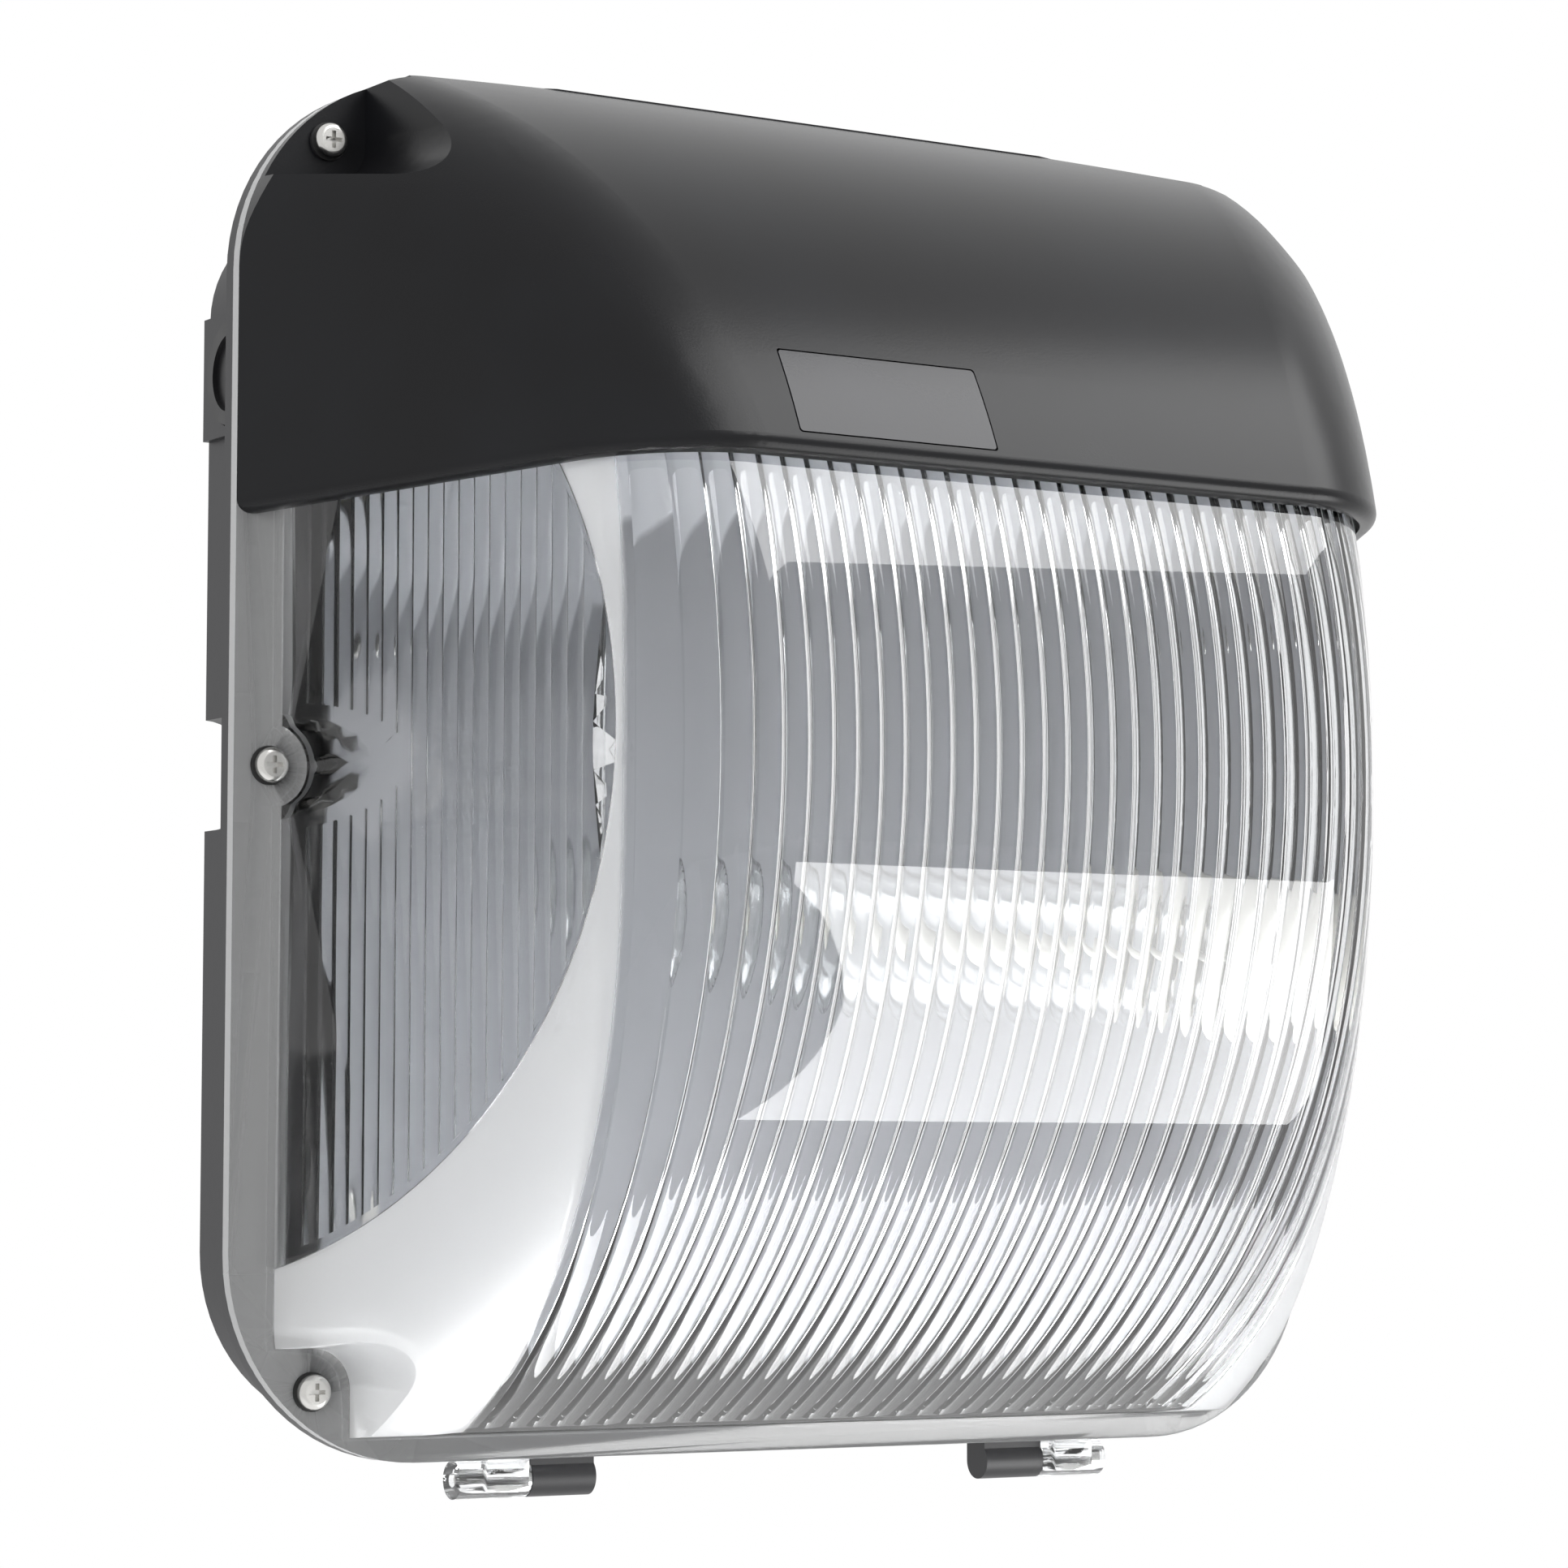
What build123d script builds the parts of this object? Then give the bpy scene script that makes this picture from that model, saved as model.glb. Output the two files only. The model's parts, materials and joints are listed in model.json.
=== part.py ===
from build123d import *
from math import cos, radians, sin, sqrt, tan
import os

# Outdoor wall pack light: a shallow housing on the wall, a deep clear prismatic diffuser
# hinged along its bottom edge, and a dark hood over the upper half of the diffuser.
# Frame: the wall is the plane Y = 0, the light looks along -Y, X runs to the right for a
# person facing it, and Z = 0 is the middle of the rim. "Depth" is measured forward from
# the joint plane, where the diffuser's flange meets the housing. All sizes in mm.

# ---- rim and housing
RIM_WIDTH = 300.0
RIM_HEIGHT = 315.0
RIM_CORNER = 47.0
HOUSING_DEPTH = 31.0
HOUSING_WALL = 3.0
HOUSING_FLANGE = 3.5
LEDGE_THICKNESS = 1.5
BOX_INSET = 9.0
BOX_TOP_INSET = 26.5
BOX_TOP_CORNER = 27.0
BOX_BOTTOM_INSET = 6.0
BOX_BOTTOM_CORNER = 41.0
OPENING_MARGIN = 2.0
NOTCH_RADIUS = 12.8

# ---- diffuser
COVER_FLANGE = 3.0
DOME_REACH = 113.0
DOME_CUT_MARGIN = 17.0
DOME_END_DEPTH = 18.9
DOME_SIDE_INSET = 11.0
DOME_END_INSET = 6.0
DOME_SIDE_DRAFT = 23.1
DOME_END_DRAFT = 5.0
DOME_CORNER = 35.0
DOME_END_FILLET = 4.0
DIFFUSER_WALL = 3.0
FLUTE_COUNT = 33
FLUTE_PITCH = 6.1
FLUTE_HEIGHT = 1.2
SIDE_PANEL_MARGIN = 47.2
SIDE_PANEL_SHIFT = 24.0
SIDE_PANEL_LIFT = 3.0
SIDE_PANEL_STEP = 0.8
SIDE_RIB_PITCH = 3.95
SIDE_RIB_HEIGHT = 0.5
SIDE_RIB_MARGIN = 2.5
SIDE_RIB_START = 7.0
SIDE_RIB_LAND = 0.05

# ---- hood
HOOD_WALL = 2.5
HOOD_FLANGE = 2.5
HOOD_OVER_DOME = 5.4
HOOD_SIDE_DRAFT = 26.0
HOOD_CORNER = 40.0
HOOD_CROWN = 3.5
HOOD_CROWN_INSET = 81.0
HOOD_SKIRT = 6.0
LIP_BELOW_TOP = 102.5
LIP_RISE = 7.0
LIP_RISE_RUN = 105.0
LIP_BAND = 6.5
LIP_THICKNESS = 4.3
LIP_ROLL = 3.2
SCOOP_RADIUS = 18.0
SCOOP_TAPER = 14.0
BLANK_LEFT_X = -65.0
BLANK_WIDTH = 52.0
BLANK_TOP_ABOVE_LIP = 24.7
BLANK_THICKNESS = 1.2
BLANK_FIT = 0.35

# ---- cover screws
CORNER_SCREW_SIDE_INSET = 20.5
CORNER_SCREW_END_INSET = 16.5
SIDE_SCREW_INSET = 8.5
SIDE_SCREW_Z = -1.5
SCREW_RADIUS = 2.0
SCREW_HOLE_RADIUS = 2.3
SCREW_HEAD_RADIUS = 4.0
SCREW_HEAD_HEIGHT = 2.6
SCREW_ENGAGEMENT = 6.0
SEAL_RADIUS = 4.4
SEAL_THICKNESS = 0.8
BOSS_RADIUS = 4.7
BOSS_LENGTH = 7.5
INSERT_RADIUS = 3.2
INSERT_BORE = 2.5
INSERT_LENGTH = 5.5
POCKET_REACH = 9.6
POCKET_CORNER = 9.4
POCKET_DRAFT = 6.0
HOOD_POCKET_GAP = 0.9

# ---- hinge
HINGE_BEHIND_JOINT = 3.5
HINGE_DROP = 4.7
KNUCKLE_RADIUS = 4.4
HINGE_SIDE_INSET = 59.8
MOVING_KNUCKLE_LENGTH = 18.6
FIXED_KNUCKLE_LENGTH = 16.8
KNUCKLE_TAB_START = 2.0
KNUCKLE_TAB_LENGTH = 10.8
KNUCKLE_GAP = 0.3
PIN_RADIUS = 1.5
PIN_CLEARANCE = 0.08
PIN_END_INSET = 1.2

# ---- entries and wall fixings
ENTRY_OFF_WALL = 15.0
SIDE_ENTRY_DROP = 67.5
TOP_ENTRY_X = 17.0
ENTRY_RADIUS = 10.25
ENTRY_FACE_RADIUS = 12.4
ENTRY_FACE_DEPTH = 2.4
ENTRY_PAD_HEIGHT = 1.5
ENTRY_PAD_HALF = 14.2
ENTRY_BOSS_RADIUS = 14.4
ENTRY_BOSS_DEPTH = 7.0
PLUG_CLEARANCE = 0.15
PLUG_HEAD_HEIGHT = 2.2
PLUG_DISH_RADIUS = 9.0
PLUG_DISH_DEPTH = 1.2
PLUG_PIP_RADIUS = 1.5
PLUG_LENGTH = 9.0
REAR_ENTRY_RADIUS = 10.0
REAR_ENTRY_Z = 25.0
GROMMET_LIP = 2.2
FIXING_SIDE_INSET = 50.0
FIXING_TOP_INSET = 77.5
FIXING_BOTTOM_INSET = 57.5
FIXING_RADIUS = 3.1
FIXING_BOSS_RADIUS = 7.5
FIXING_BOSS_HEIGHT = 2.5
FIXING_SEAL_HEIGHT = 2.0

# ---- seal between diffuser and housing
GASKET_WIDTH = 3.6
GASKET_HEIGHT = 2.0
GASKET_SIDE_PLAY = 0.1

# ---- gear
PILLAR_RADIUS = 4.5
PILLAR_BORE = 1.7
TRAY_PILLAR_INSET = 10.0
TRAY_BELOW_JOINT = 6.0
TRAY_THICKNESS = 1.5
TRAY_SIDE_INSET = 32.0
TRAY_TOP_INSET = 35.5
TRAY_HEIGHT = 60.0
TRAY_RETURN = 6.0
REFLECTOR_BOTTOM_INSET = 29.5
REFLECTOR_SIDE_INSET = 29.0
REFLECTOR_SHEET = 1.2
REFLECTOR_PILLAR_INSET = 17.0
REFLECTOR_BELOW_JOINT = 2.0
REFLECTOR_TIP_BEHIND_FRONT = 59.0
REFLECTOR_TIP_RISE = 47.0
REFLECTOR_TIP_NARROWING = 23.0
REFLECTOR_RETURN = 7.0
TRAY_SCREW_HEAD = 3.3
TRAY_SCREW_HEIGHT = 2.0
TRAY_SCREW_LENGTH = 9.0
TRAY_SCREW_RADIUS = 1.65

# ---- control gear and lamp
BALLAST_HEIGHT = 28.0
BALLAST_RISE = 27.0
BALLAST_RIGHT_MARGIN = 22.0
BALLAST_LEFT_MARGIN = 82.0
BALLAST_FOOT = 9.0
IGNITOR_RADIUS = 12.5
IGNITOR_LENGTH = 42.0
IGNITOR_GAP = 30.0
IGNITOR_STUD_RADIUS = 3.0
IGNITOR_STUD_LENGTH = 8.0
IGNITOR_NUT_RADIUS = 5.8
IGNITOR_NUT_HEIGHT = 4.0
TERMINAL_SIZE = (34.0, 17.0, 16.0)
TERMINAL_DROP = 30.0
TERMINAL_WAYS = 4
EARTH_SIDE_MARGIN = 33.0
EARTH_ABOVE_EDGE = 8.0
LAMP_BEHIND_FRONT = 69.0
LAMP_Z = -38.0
HOLDER_RADIUS = 18.5
HOLDER_LENGTH = 42.0
HOLDER_SIDE_INSET = 44.0
HOLDER_BORE = 13.6
HOLDER_BORE_DEPTH = 27.0
HOLDER_SCREW_REACH = 11.0
BRACKET_SHEET = 1.5
BRACKET_WIDTH = 30.0
LAMP_CAP_RADIUS = 13.2
LAMP_CAP_LENGTH = 26.0
LAMP_CAP_WALL = 1.2
LAMP_NECK_SEAT = 6.0
LAMP_NECK_GAP = 0.1
LAMP_GLASS_RADIUS = 16.0
LAMP_GLASS_WALL = 1.0
LAMP_GLASS_LENGTH = 112.0
ARC_TUBE_RADIUS = 3.6
ARC_TUBE_LENGTH = 46.0

# ---- values that follow from those above
JOINT_Y = -HOUSING_DEPTH
BACK_DEPTH = HOUSING_WALL - HOUSING_DEPTH
LEDGE = HOUSING_FLANGE + LEDGE_THICKNESS
DOME_HALF_WIDTH = RIM_WIDTH / 2 - DOME_SIDE_INSET
DOME_HALF_HEIGHT = RIM_HEIGHT / 2 - DOME_END_INSET
HOOD_REACH = DOME_REACH + HOOD_OVER_DOME
HOOD_TOP = RIM_HEIGHT / 2 + HOOD_CROWN
HOOD_CROWN_HALF = RIM_WIDTH / 2 - HOOD_CROWN_INSET


def arc_radius(half_height, reach, end_depth):
    """Radius of a front-to-back arc through its foremost point and its two ends."""
    rise = reach - end_depth
    return (half_height ** 2 + rise ** 2) / (2 * rise)


DOME_ARC = arc_radius(DOME_HALF_HEIGHT, DOME_REACH, DOME_END_DEPTH)
DOME_BACK = DOME_ARC - DOME_REACH
HOOD_ARC = arc_radius(HOOD_TOP, HOOD_REACH, COVER_FLANGE)
HOOD_BACK = HOOD_ARC - HOOD_REACH
SIDE_PANEL_ARC = DOME_ARC - SIDE_PANEL_MARGIN
SIDE_PANEL_BACK = DOME_BACK - SIDE_PANEL_SHIFT
LIP_REAR_Z = RIM_HEIGHT / 2 - LIP_BELOW_TOP
LIP_FRONT_Z = LIP_REAR_Z + LIP_RISE
BLANK_TOP_Z = LIP_FRONT_Z + BLANK_TOP_ABOVE_LIP
CORNER_SCREW_X = RIM_WIDTH / 2 - CORNER_SCREW_SIDE_INSET
CORNER_SCREW_Z = RIM_HEIGHT / 2 - CORNER_SCREW_END_INSET
SIDE_SCREW_X = RIM_WIDTH / 2 - SIDE_SCREW_INSET
BOX_HALF_WIDTH = RIM_WIDTH / 2 - BOX_INSET
BOX_TOP = RIM_HEIGHT / 2 - BOX_TOP_INSET
BOX_BOTTOM = -RIM_HEIGHT / 2 + BOX_BOTTOM_INSET
FLUTED_HALF = FLUTE_COUNT * FLUTE_PITCH / 2
HINGE_Y = JOINT_Y + HINGE_BEHIND_JOINT
HINGE_Z = -RIM_HEIGHT / 2 - HINGE_DROP
MOVING_KNUCKLE_END = RIM_WIDTH / 2 - HINGE_SIDE_INSET
KNUCKLE_SPLIT = MOVING_KNUCKLE_END - MOVING_KNUCKLE_LENGTH
FIXED_KNUCKLE_START = KNUCKLE_SPLIT - FIXED_KNUCKLE_LENGTH
ENTRY_Y = -ENTRY_OFF_WALL
SIDE_ENTRY_Z = RIM_HEIGHT / 2 - SIDE_ENTRY_DROP
FIXING_X = RIM_WIDTH / 2 - FIXING_SIDE_INSET
FIXING_TOP_Z = RIM_HEIGHT / 2 - FIXING_TOP_INSET
FIXING_BOTTOM_Z = FIXING_BOTTOM_INSET - RIM_HEIGHT / 2
HOOD_SEAT = COVER_FLANGE + HOOD_FLANGE
TRAY_HALF_WIDTH = RIM_WIDTH / 2 - TRAY_SIDE_INSET
TRAY_TOP_Z = RIM_HEIGHT / 2 - TRAY_TOP_INSET
TRAY_BOTTOM_Z = TRAY_TOP_Z - TRAY_HEIGHT
TRAY_FACE = -TRAY_BELOW_JOINT
PILLAR_X = TRAY_HALF_WIDTH - TRAY_PILLAR_INSET
TRAY_PILLAR_Z = (TRAY_TOP_Z - 10, TRAY_BOTTOM_Z + 8)
PANEL_FACE = -REFLECTOR_BELOW_JOINT
REFLECTOR_HALF_WIDTH = RIM_WIDTH / 2 - REFLECTOR_SIDE_INSET
REFLECTOR_BOTTOM_Z = REFLECTOR_BOTTOM_INSET - RIM_HEIGHT / 2
REFLECTOR_FOLD_Z = TRAY_BOTTOM_Z - 2
REFLECTOR_TIP_DEPTH = DOME_REACH - REFLECTOR_TIP_BEHIND_FRONT
REFLECTOR_TIP_Z = REFLECTOR_FOLD_Z + REFLECTOR_TIP_RISE
REFLECTOR_PILLAR_X = REFLECTOR_HALF_WIDTH - REFLECTOR_PILLAR_INSET
REFLECTOR_PILLAR_Z = (REFLECTOR_FOLD_Z - 20, REFLECTOR_BOTTOM_Z + 10)
BALLAST_LENGTH = 2 * TRAY_HALF_WIDTH - BALLAST_RIGHT_MARGIN - BALLAST_LEFT_MARGIN
BALLAST_X = TRAY_HALF_WIDTH - BALLAST_RIGHT_MARGIN - BALLAST_LENGTH / 2
BALLAST_Z = TRAY_TOP_Z - 18.5
IGNITOR_X = BALLAST_X - BALLAST_LENGTH / 2 - IGNITOR_GAP
TERMINAL_X = TERMINAL_SIZE[0] / 2 - TRAY_HALF_WIDTH
TERMINAL_Z = TRAY_TOP_Z - TERMINAL_DROP
EARTH_X = EARTH_SIDE_MARGIN - TRAY_HALF_WIDTH
EARTH_Z = TRAY_BOTTOM_Z + EARTH_ABOVE_EDGE
LAMP_DEPTH = DOME_REACH - LAMP_BEHIND_FRONT
HOLDER_END_X = RIM_WIDTH / 2 - HOLDER_SIDE_INSET
HOLDER_MOUTH_X = HOLDER_END_X - HOLDER_LENGTH
FAR = 400.0


# ---- planes and helpers
def front_plane(depth):
    """Sketch plane facing the viewer: local x is X, local y is Z, extrusion is forward."""
    return Plane(origin=(0, JOINT_Y - depth, 0), x_dir=(1, 0, 0), z_dir=(0, -1, 0))


# Local x is depth, local y is Z, extrusion runs along X.
PROFILE_PLANE = Plane(origin=(0, JOINT_Y, 0), x_dir=(0, -1, 0), z_dir=(-1, 0, 0))
# Local x is X, local y is depth, extrusion runs along Z.
PLAN_PLANE = Plane(origin=(0, JOINT_Y, 0), x_dir=(1, 0, 0), z_dir=(0, 0, -1))


def forward(sketch, start, length, taper=0.0):
    """Solid from a front view, from depth start, length mm forward (back if negative)."""
    return extrude(front_plane(start) * sketch, amount=length, taper=taper)


def rod(radius, x, z, start, length):
    return forward(Pos(x, z) * Circle(radius), start, length)


def cross_rod(radius, y, z, x_start, x_end):
    centre = ((x_start + x_end) / 2, y, z)
    return Pos(*centre) * Rot(0, 90, 0) * Cylinder(radius, abs(x_end - x_start))


def block(x0, x1, y0, y1, z0, z1):
    centre = ((x0 + x1) / 2, (y0 + y1) / 2, (z0 + z1) / 2)
    return Pos(*centre) * Box(abs(x1 - x0), abs(y1 - y0), abs(z1 - z0))


def slab(depth0, depth1):
    """Everything between two depths."""
    return block(-FAR, FAR, JOINT_Y - depth1, JOINT_Y - depth0, -FAR, FAR)


def window(x0, x1, z0, z1, corner):
    """Rectangle in the front view with equal round corners."""
    outline = RectangleRounded(x1 - x0, z1 - z0, corner)
    return Pos((x0 + x1) / 2, (z0 + z1) / 2) * outline


def save(name, shape):
    shape.label = name
    export_step(shape, f"parts/{name}.step")
    print(name, len(shape.solids()))


CORNER_SIGNS = [(sx, sz) for sz in (1, -1) for sx in (-1, 1)]
TOP_SCREWS = [(sx * CORNER_SCREW_X, CORNER_SCREW_Z) for sx in (-1, 1)]
BOTTOM_SCREWS = [(sx * CORNER_SCREW_X, -CORNER_SCREW_Z) for sx in (-1, 1)]
SIDE_SCREWS = [(sx * SIDE_SCREW_X, SIDE_SCREW_Z) for sx in (-1, 1)]
ALL_SCREWS = TOP_SCREWS + SIDE_SCREWS + BOTTOM_SCREWS


# ---- outlines in the front view
def rim_outline():
    return RectangleRounded(RIM_WIDTH, RIM_HEIGHT, RIM_CORNER)


def corner_notch(sx, sz, grow=0.0):
    """Room round a corner screw: square towards the middle with one round corner, and
    open past the rim."""
    reach = POCKET_REACH + grow
    x0, x1 = sorted((sx * (CORNER_SCREW_X - reach), sx * (CORNER_SCREW_X + 3 * POCKET_REACH)))
    z0, z1 = sorted((sz * (CORNER_SCREW_Z - reach), sz * (CORNER_SCREW_Z + 3 * POCKET_REACH)))
    return window(x0, x1, z0, z1, POCKET_CORNER + grow)


def side_notch(sx, grow=0.0):
    """Room round a side screw: a half circle towards the middle, open past the rim."""
    reach = POCKET_REACH + grow
    x0, x1 = sorted((sx * (SIDE_SCREW_X - reach), sx * (SIDE_SCREW_X + 3 * reach)))
    return window(x0, x1, SIDE_SCREW_Z - reach, SIDE_SCREW_Z + reach, reach - 0.01)


def box_outline(shrink=0.0):
    """Back box: long corner radii below, short ones above, a scoop at each side screw."""
    half = BOX_HALF_WIDTH - shrink
    top = BOX_TOP - shrink
    bottom = BOX_BOTTOM + shrink
    upper = window(-half, half, bottom + 60, top, BOX_TOP_CORNER - shrink)
    lower = window(-half, half, bottom, top - 60, BOX_BOTTOM_CORNER - shrink)
    middle = Pos(0, (top + bottom) / 2) * Rectangle(2 * half, top - bottom - 100)
    outline = upper + lower + middle
    for x, z in SIDE_SCREWS:
        outline -= Pos(x, z) * Circle(NOTCH_RADIUS + shrink)
    return outline


def seal_outline(shrink=0.0):
    """Where the diffuser wall lands on the joint plane: a rectangle less the notches."""
    outline = Rectangle(2 * (DOME_HALF_WIDTH - shrink), 2 * (DOME_HALF_HEIGHT - shrink))
    for sx, sz in CORNER_SIGNS:
        extra = HOOD_WALL + HOOD_POCKET_GAP if sz > 0 else 0.0
        outline -= corner_notch(sx, sz, extra + shrink)
    for sx in (-1, 1):
        outline -= side_notch(sx, shrink)
    return outline


# ---- domed blocks: an arc seen from the side, drafted sides seen from above
def domed_block(arc, back, half_width, draft, corner, inset=0.0):
    """Arc along the height and drafted flat sides, with the long side edges rounded."""
    disc = PROFILE_PLANE * Pos(-back, 0) * Circle(arc - inset)
    front = extrude(disc, amount=half_width + 20, both=True)
    lean = tan(radians(draft))
    side_inset = inset / cos(radians(draft))
    near = half_width - side_inset + lean * (COVER_FLANGE + 5)
    past_front = DOME_REACH + DOME_CUT_MARGIN
    far = half_width - side_inset - lean * past_front
    sides = Polygon(
        (-near, -5), (near, -5), (far, COVER_FLANGE + past_front), (-far, COVER_FLANGE + past_front),
        align=None,
    )
    body = front & extrude(PLAN_PLANE * sides, amount=FAR / 2, both=True)
    long_edges = body.edges().filter_by(GeomType.ELLIPSE)
    return fillet(long_edges, corner - inset)


def end_walls(half_height, draft):
    """Upper and lower limits of a dome, leaning inwards towards the front."""
    lean = tan(radians(draft))
    low = half_height + lean * (COVER_FLANGE + 5)
    past_front = DOME_REACH + DOME_CUT_MARGIN
    high = half_height - lean * past_front
    outline = Polygon(
        (-5, -low), (COVER_FLANGE + past_front, -high), (COVER_FLANGE + past_front, high), (-5, low),
        align=None,
    )
    return extrude(PROFILE_PLANE * outline, amount=FAR / 2, both=True)


def dome_pockets(inset=0.0, start=COVER_FLANGE):
    """The drafted wells that let a driver reach the six screws."""
    wells = []
    for sx, sz in CORNER_SIGNS:
        extra = HOOD_WALL + HOOD_POCKET_GAP if sz > 0 else 0.0
        wells.append(forward(corner_notch(sx, sz, extra + inset), start, 90, -POCKET_DRAFT))
    for sx in (-1, 1):
        wells.append(forward(side_notch(sx, inset), start, 60, -POCKET_DRAFT))
    return wells


# ---- fluted inside of the diffuser
def inner_front(x, z):
    """Depth of the smooth inside face: the arc, and a rolling ball along the side edges."""
    arc = DOME_ARC - DIFFUSER_WALL
    ball = DOME_CORNER - DIFFUSER_WALL
    lean = radians(DOME_SIDE_DRAFT)
    wall_line = DOME_HALF_WIDTH * cos(lean) + COVER_FLANGE * sin(lean) - DIFFUSER_WALL - ball
    best = 0.0
    for step in range(-90, 91):
        angle = radians(step)
        ball_depth = (arc - ball) * cos(angle) - DOME_BACK
        ball_x = (wall_line - ball_depth * sin(lean)) / cos(lean)
        ball_z = (arc - ball) * sin(angle)
        offset = max(abs(x) - ball_x, 0.0) ** 2 + (z - ball_z) ** 2
        if offset < ball ** 2:
            best = max(best, ball_depth + sqrt(ball ** 2 - offset))
    return best


def flute_section(x, ridge):
    """Closed outline across the cavity at one X, ridge mm short of the inside face."""
    half = DOME_HALF_HEIGHT - DIFFUSER_WALL
    count = 8
    points = []
    for step in range(-count, count + 1):
        z = half * sin(radians(90 * step / count))
        points.append((x, JOINT_Y - inner_front(x, z) + ridge, z))
    front = Spline(*points)
    back_y = JOINT_Y + 1
    sides = Polyline(points[-1], (x, back_y, half), (x, back_y, -half), points[0])
    return Wire([front] + sides.edges())


def fluted_core():
    """The middle of the diffuser's cavity, ruled from ridge to valley, flute by flute."""
    sections = []
    for index in range(2 * FLUTE_COUNT + 1):
        x = -FLUTED_HALF + index * FLUTE_PITCH / 2
        sections.append(flute_section(x, FLUTE_HEIGHT if index % 2 == 0 else 0.0))
    return Solid.make_loft(sections, ruled=True)


# ---- the cover: diffuser, hood and their screws
def side_panel_cut():
    """Shallow step round the flat ribbed panel on each side of the diffuser."""
    disc = PROFILE_PLANE * Pos(-SIDE_PANEL_BACK, SIDE_PANEL_LIFT) * Circle(SIDE_PANEL_ARC)
    reach = extrude(disc, amount=DOME_HALF_WIDTH + 5, both=True)
    kept = domed_block(DOME_ARC + 50, DOME_BACK, DOME_HALF_WIDTH - SIDE_PANEL_STEP,
                       DOME_SIDE_DRAFT, SIDE_PANEL_STEP)
    return (reach & slab(COVER_FLANGE, FAR)) - kept


def side_rib_cutter(side):
    """Upright prisms on the inside of a side wall, as tall as the panel outside allows."""
    lean = tan(radians(DOME_SIDE_DRAFT))
    wall_x = DOME_HALF_WIDTH - DIFFUSER_WALL / cos(radians(DOME_SIDE_DRAFT))
    radius = SIDE_PANEL_ARC - SIDE_RIB_MARGIN
    last = COVER_FLANGE + (wall_x - FLUTED_HALF) / lean - SIDE_RIB_MARGIN
    count = int((last - SIDE_RIB_START) / SIDE_RIB_PITCH)
    points = []
    for index in range(2 * count + 1):
        depth = SIDE_RIB_START + index * SIDE_RIB_PITCH / 2
        bite = SIDE_RIB_HEIGHT if index % 2 else -SIDE_RIB_LAND
        points.append((side * (wall_x - lean * (depth - COVER_FLANGE) + bite), depth))
    last_x, last_depth = points[-1]
    points += [(last_x - side, last_depth), (points[0][0] - side, SIDE_RIB_START)]
    teeth = extrude(PLAN_PLANE * Polygon(*points, align=None), amount=FAR / 2, both=True)
    disc = PROFILE_PLANE * Pos(-SIDE_PANEL_BACK, SIDE_PANEL_LIFT) * Circle(radius)
    teeth = teeth & extrude(disc, amount=DOME_HALF_WIDTH + 5, both=True)
    for well in dome_pockets(DIFFUSER_WALL + SIDE_RIB_MARGIN, -HOUSING_FLANGE):
        teeth -= well
    return teeth


def moving_knuckles():
    """Diffuser knuckles: a round barrel under the flange and a tab up to it."""
    knuckles = []
    for side in (-1, 1):
        x0 = side * (KNUCKLE_SPLIT + KNUCKLE_GAP / 2)
        x1 = side * MOVING_KNUCKLE_END
        barrel = cross_rod(KNUCKLE_RADIUS, HINGE_Y, HINGE_Z, x0, x1)
        tab_low = HINGE_Z - sqrt(KNUCKLE_RADIUS ** 2 - HINGE_BEHIND_JOINT ** 2)
        tab_start = x0 + side * KNUCKLE_TAB_START
        tab_end = tab_start + side * KNUCKLE_TAB_LENGTH
        tab = block(tab_start, tab_end, JOINT_Y - COVER_FLANGE, JOINT_Y, tab_low,
                    1 - RIM_HEIGHT / 2)
        bore = cross_rod(PIN_RADIUS + PIN_CLEARANCE, HINGE_Y, HINGE_Z, x0 - side, x1 + side)
        knuckles.append(barrel + tab - bore)
    return knuckles


def diffuser():
    outer = domed_block(DOME_ARC, DOME_BACK, DOME_HALF_WIDTH, DOME_SIDE_DRAFT, DOME_CORNER)
    outer = outer & end_walls(DOME_HALF_HEIGHT, DOME_END_DRAFT)
    outer = outer & forward(rim_outline(), 0, FAR / 2)
    for well in dome_pockets():
        outer -= well
    outer -= side_panel_cut()
    cavity = domed_block(DOME_ARC, DOME_BACK, DOME_HALF_WIDTH, DOME_SIDE_DRAFT, DOME_CORNER,
                         DIFFUSER_WALL)
    cavity = cavity & end_walls(DOME_HALF_HEIGHT - DIFFUSER_WALL, DOME_END_DRAFT)
    cavity -= block(-FLUTED_HALF, FLUTED_HALF, -FAR, FAR, -FAR, FAR)
    cavity += fluted_core() & end_walls(DOME_HALF_HEIGHT - DIFFUSER_WALL, DOME_END_DRAFT)
    for well in dome_pockets(DIFFUSER_WALL, -HOUSING_FLANGE):
        cavity -= well
    body = outer + forward(rim_outline(), 0, COVER_FLANGE)
    for knuckle in moving_knuckles():
        body += knuckle
    body -= cavity
    for side in (-1, 1):
        body -= side_rib_cutter(side)
    for x, z in ALL_SCREWS:
        body -= rod(SCREW_HOLE_RADIUS, x, z, -1, COVER_FLANGE + 2)
    return body


def lip_height(depth):
    return LIP_REAR_Z + LIP_RISE * (depth - COVER_FLANGE) / LIP_RISE_RUN


def above_lip(lift=0.0):
    """Everything higher than the hood's lower edge."""
    outline = Polygon(
        (-30, lip_height(-30) + lift), (150, lip_height(150) + lift), (150, 220), (-30, 220),
        align=None,
    )
    return extrude(PROFILE_PLANE * outline, amount=FAR / 2, both=True)


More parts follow.
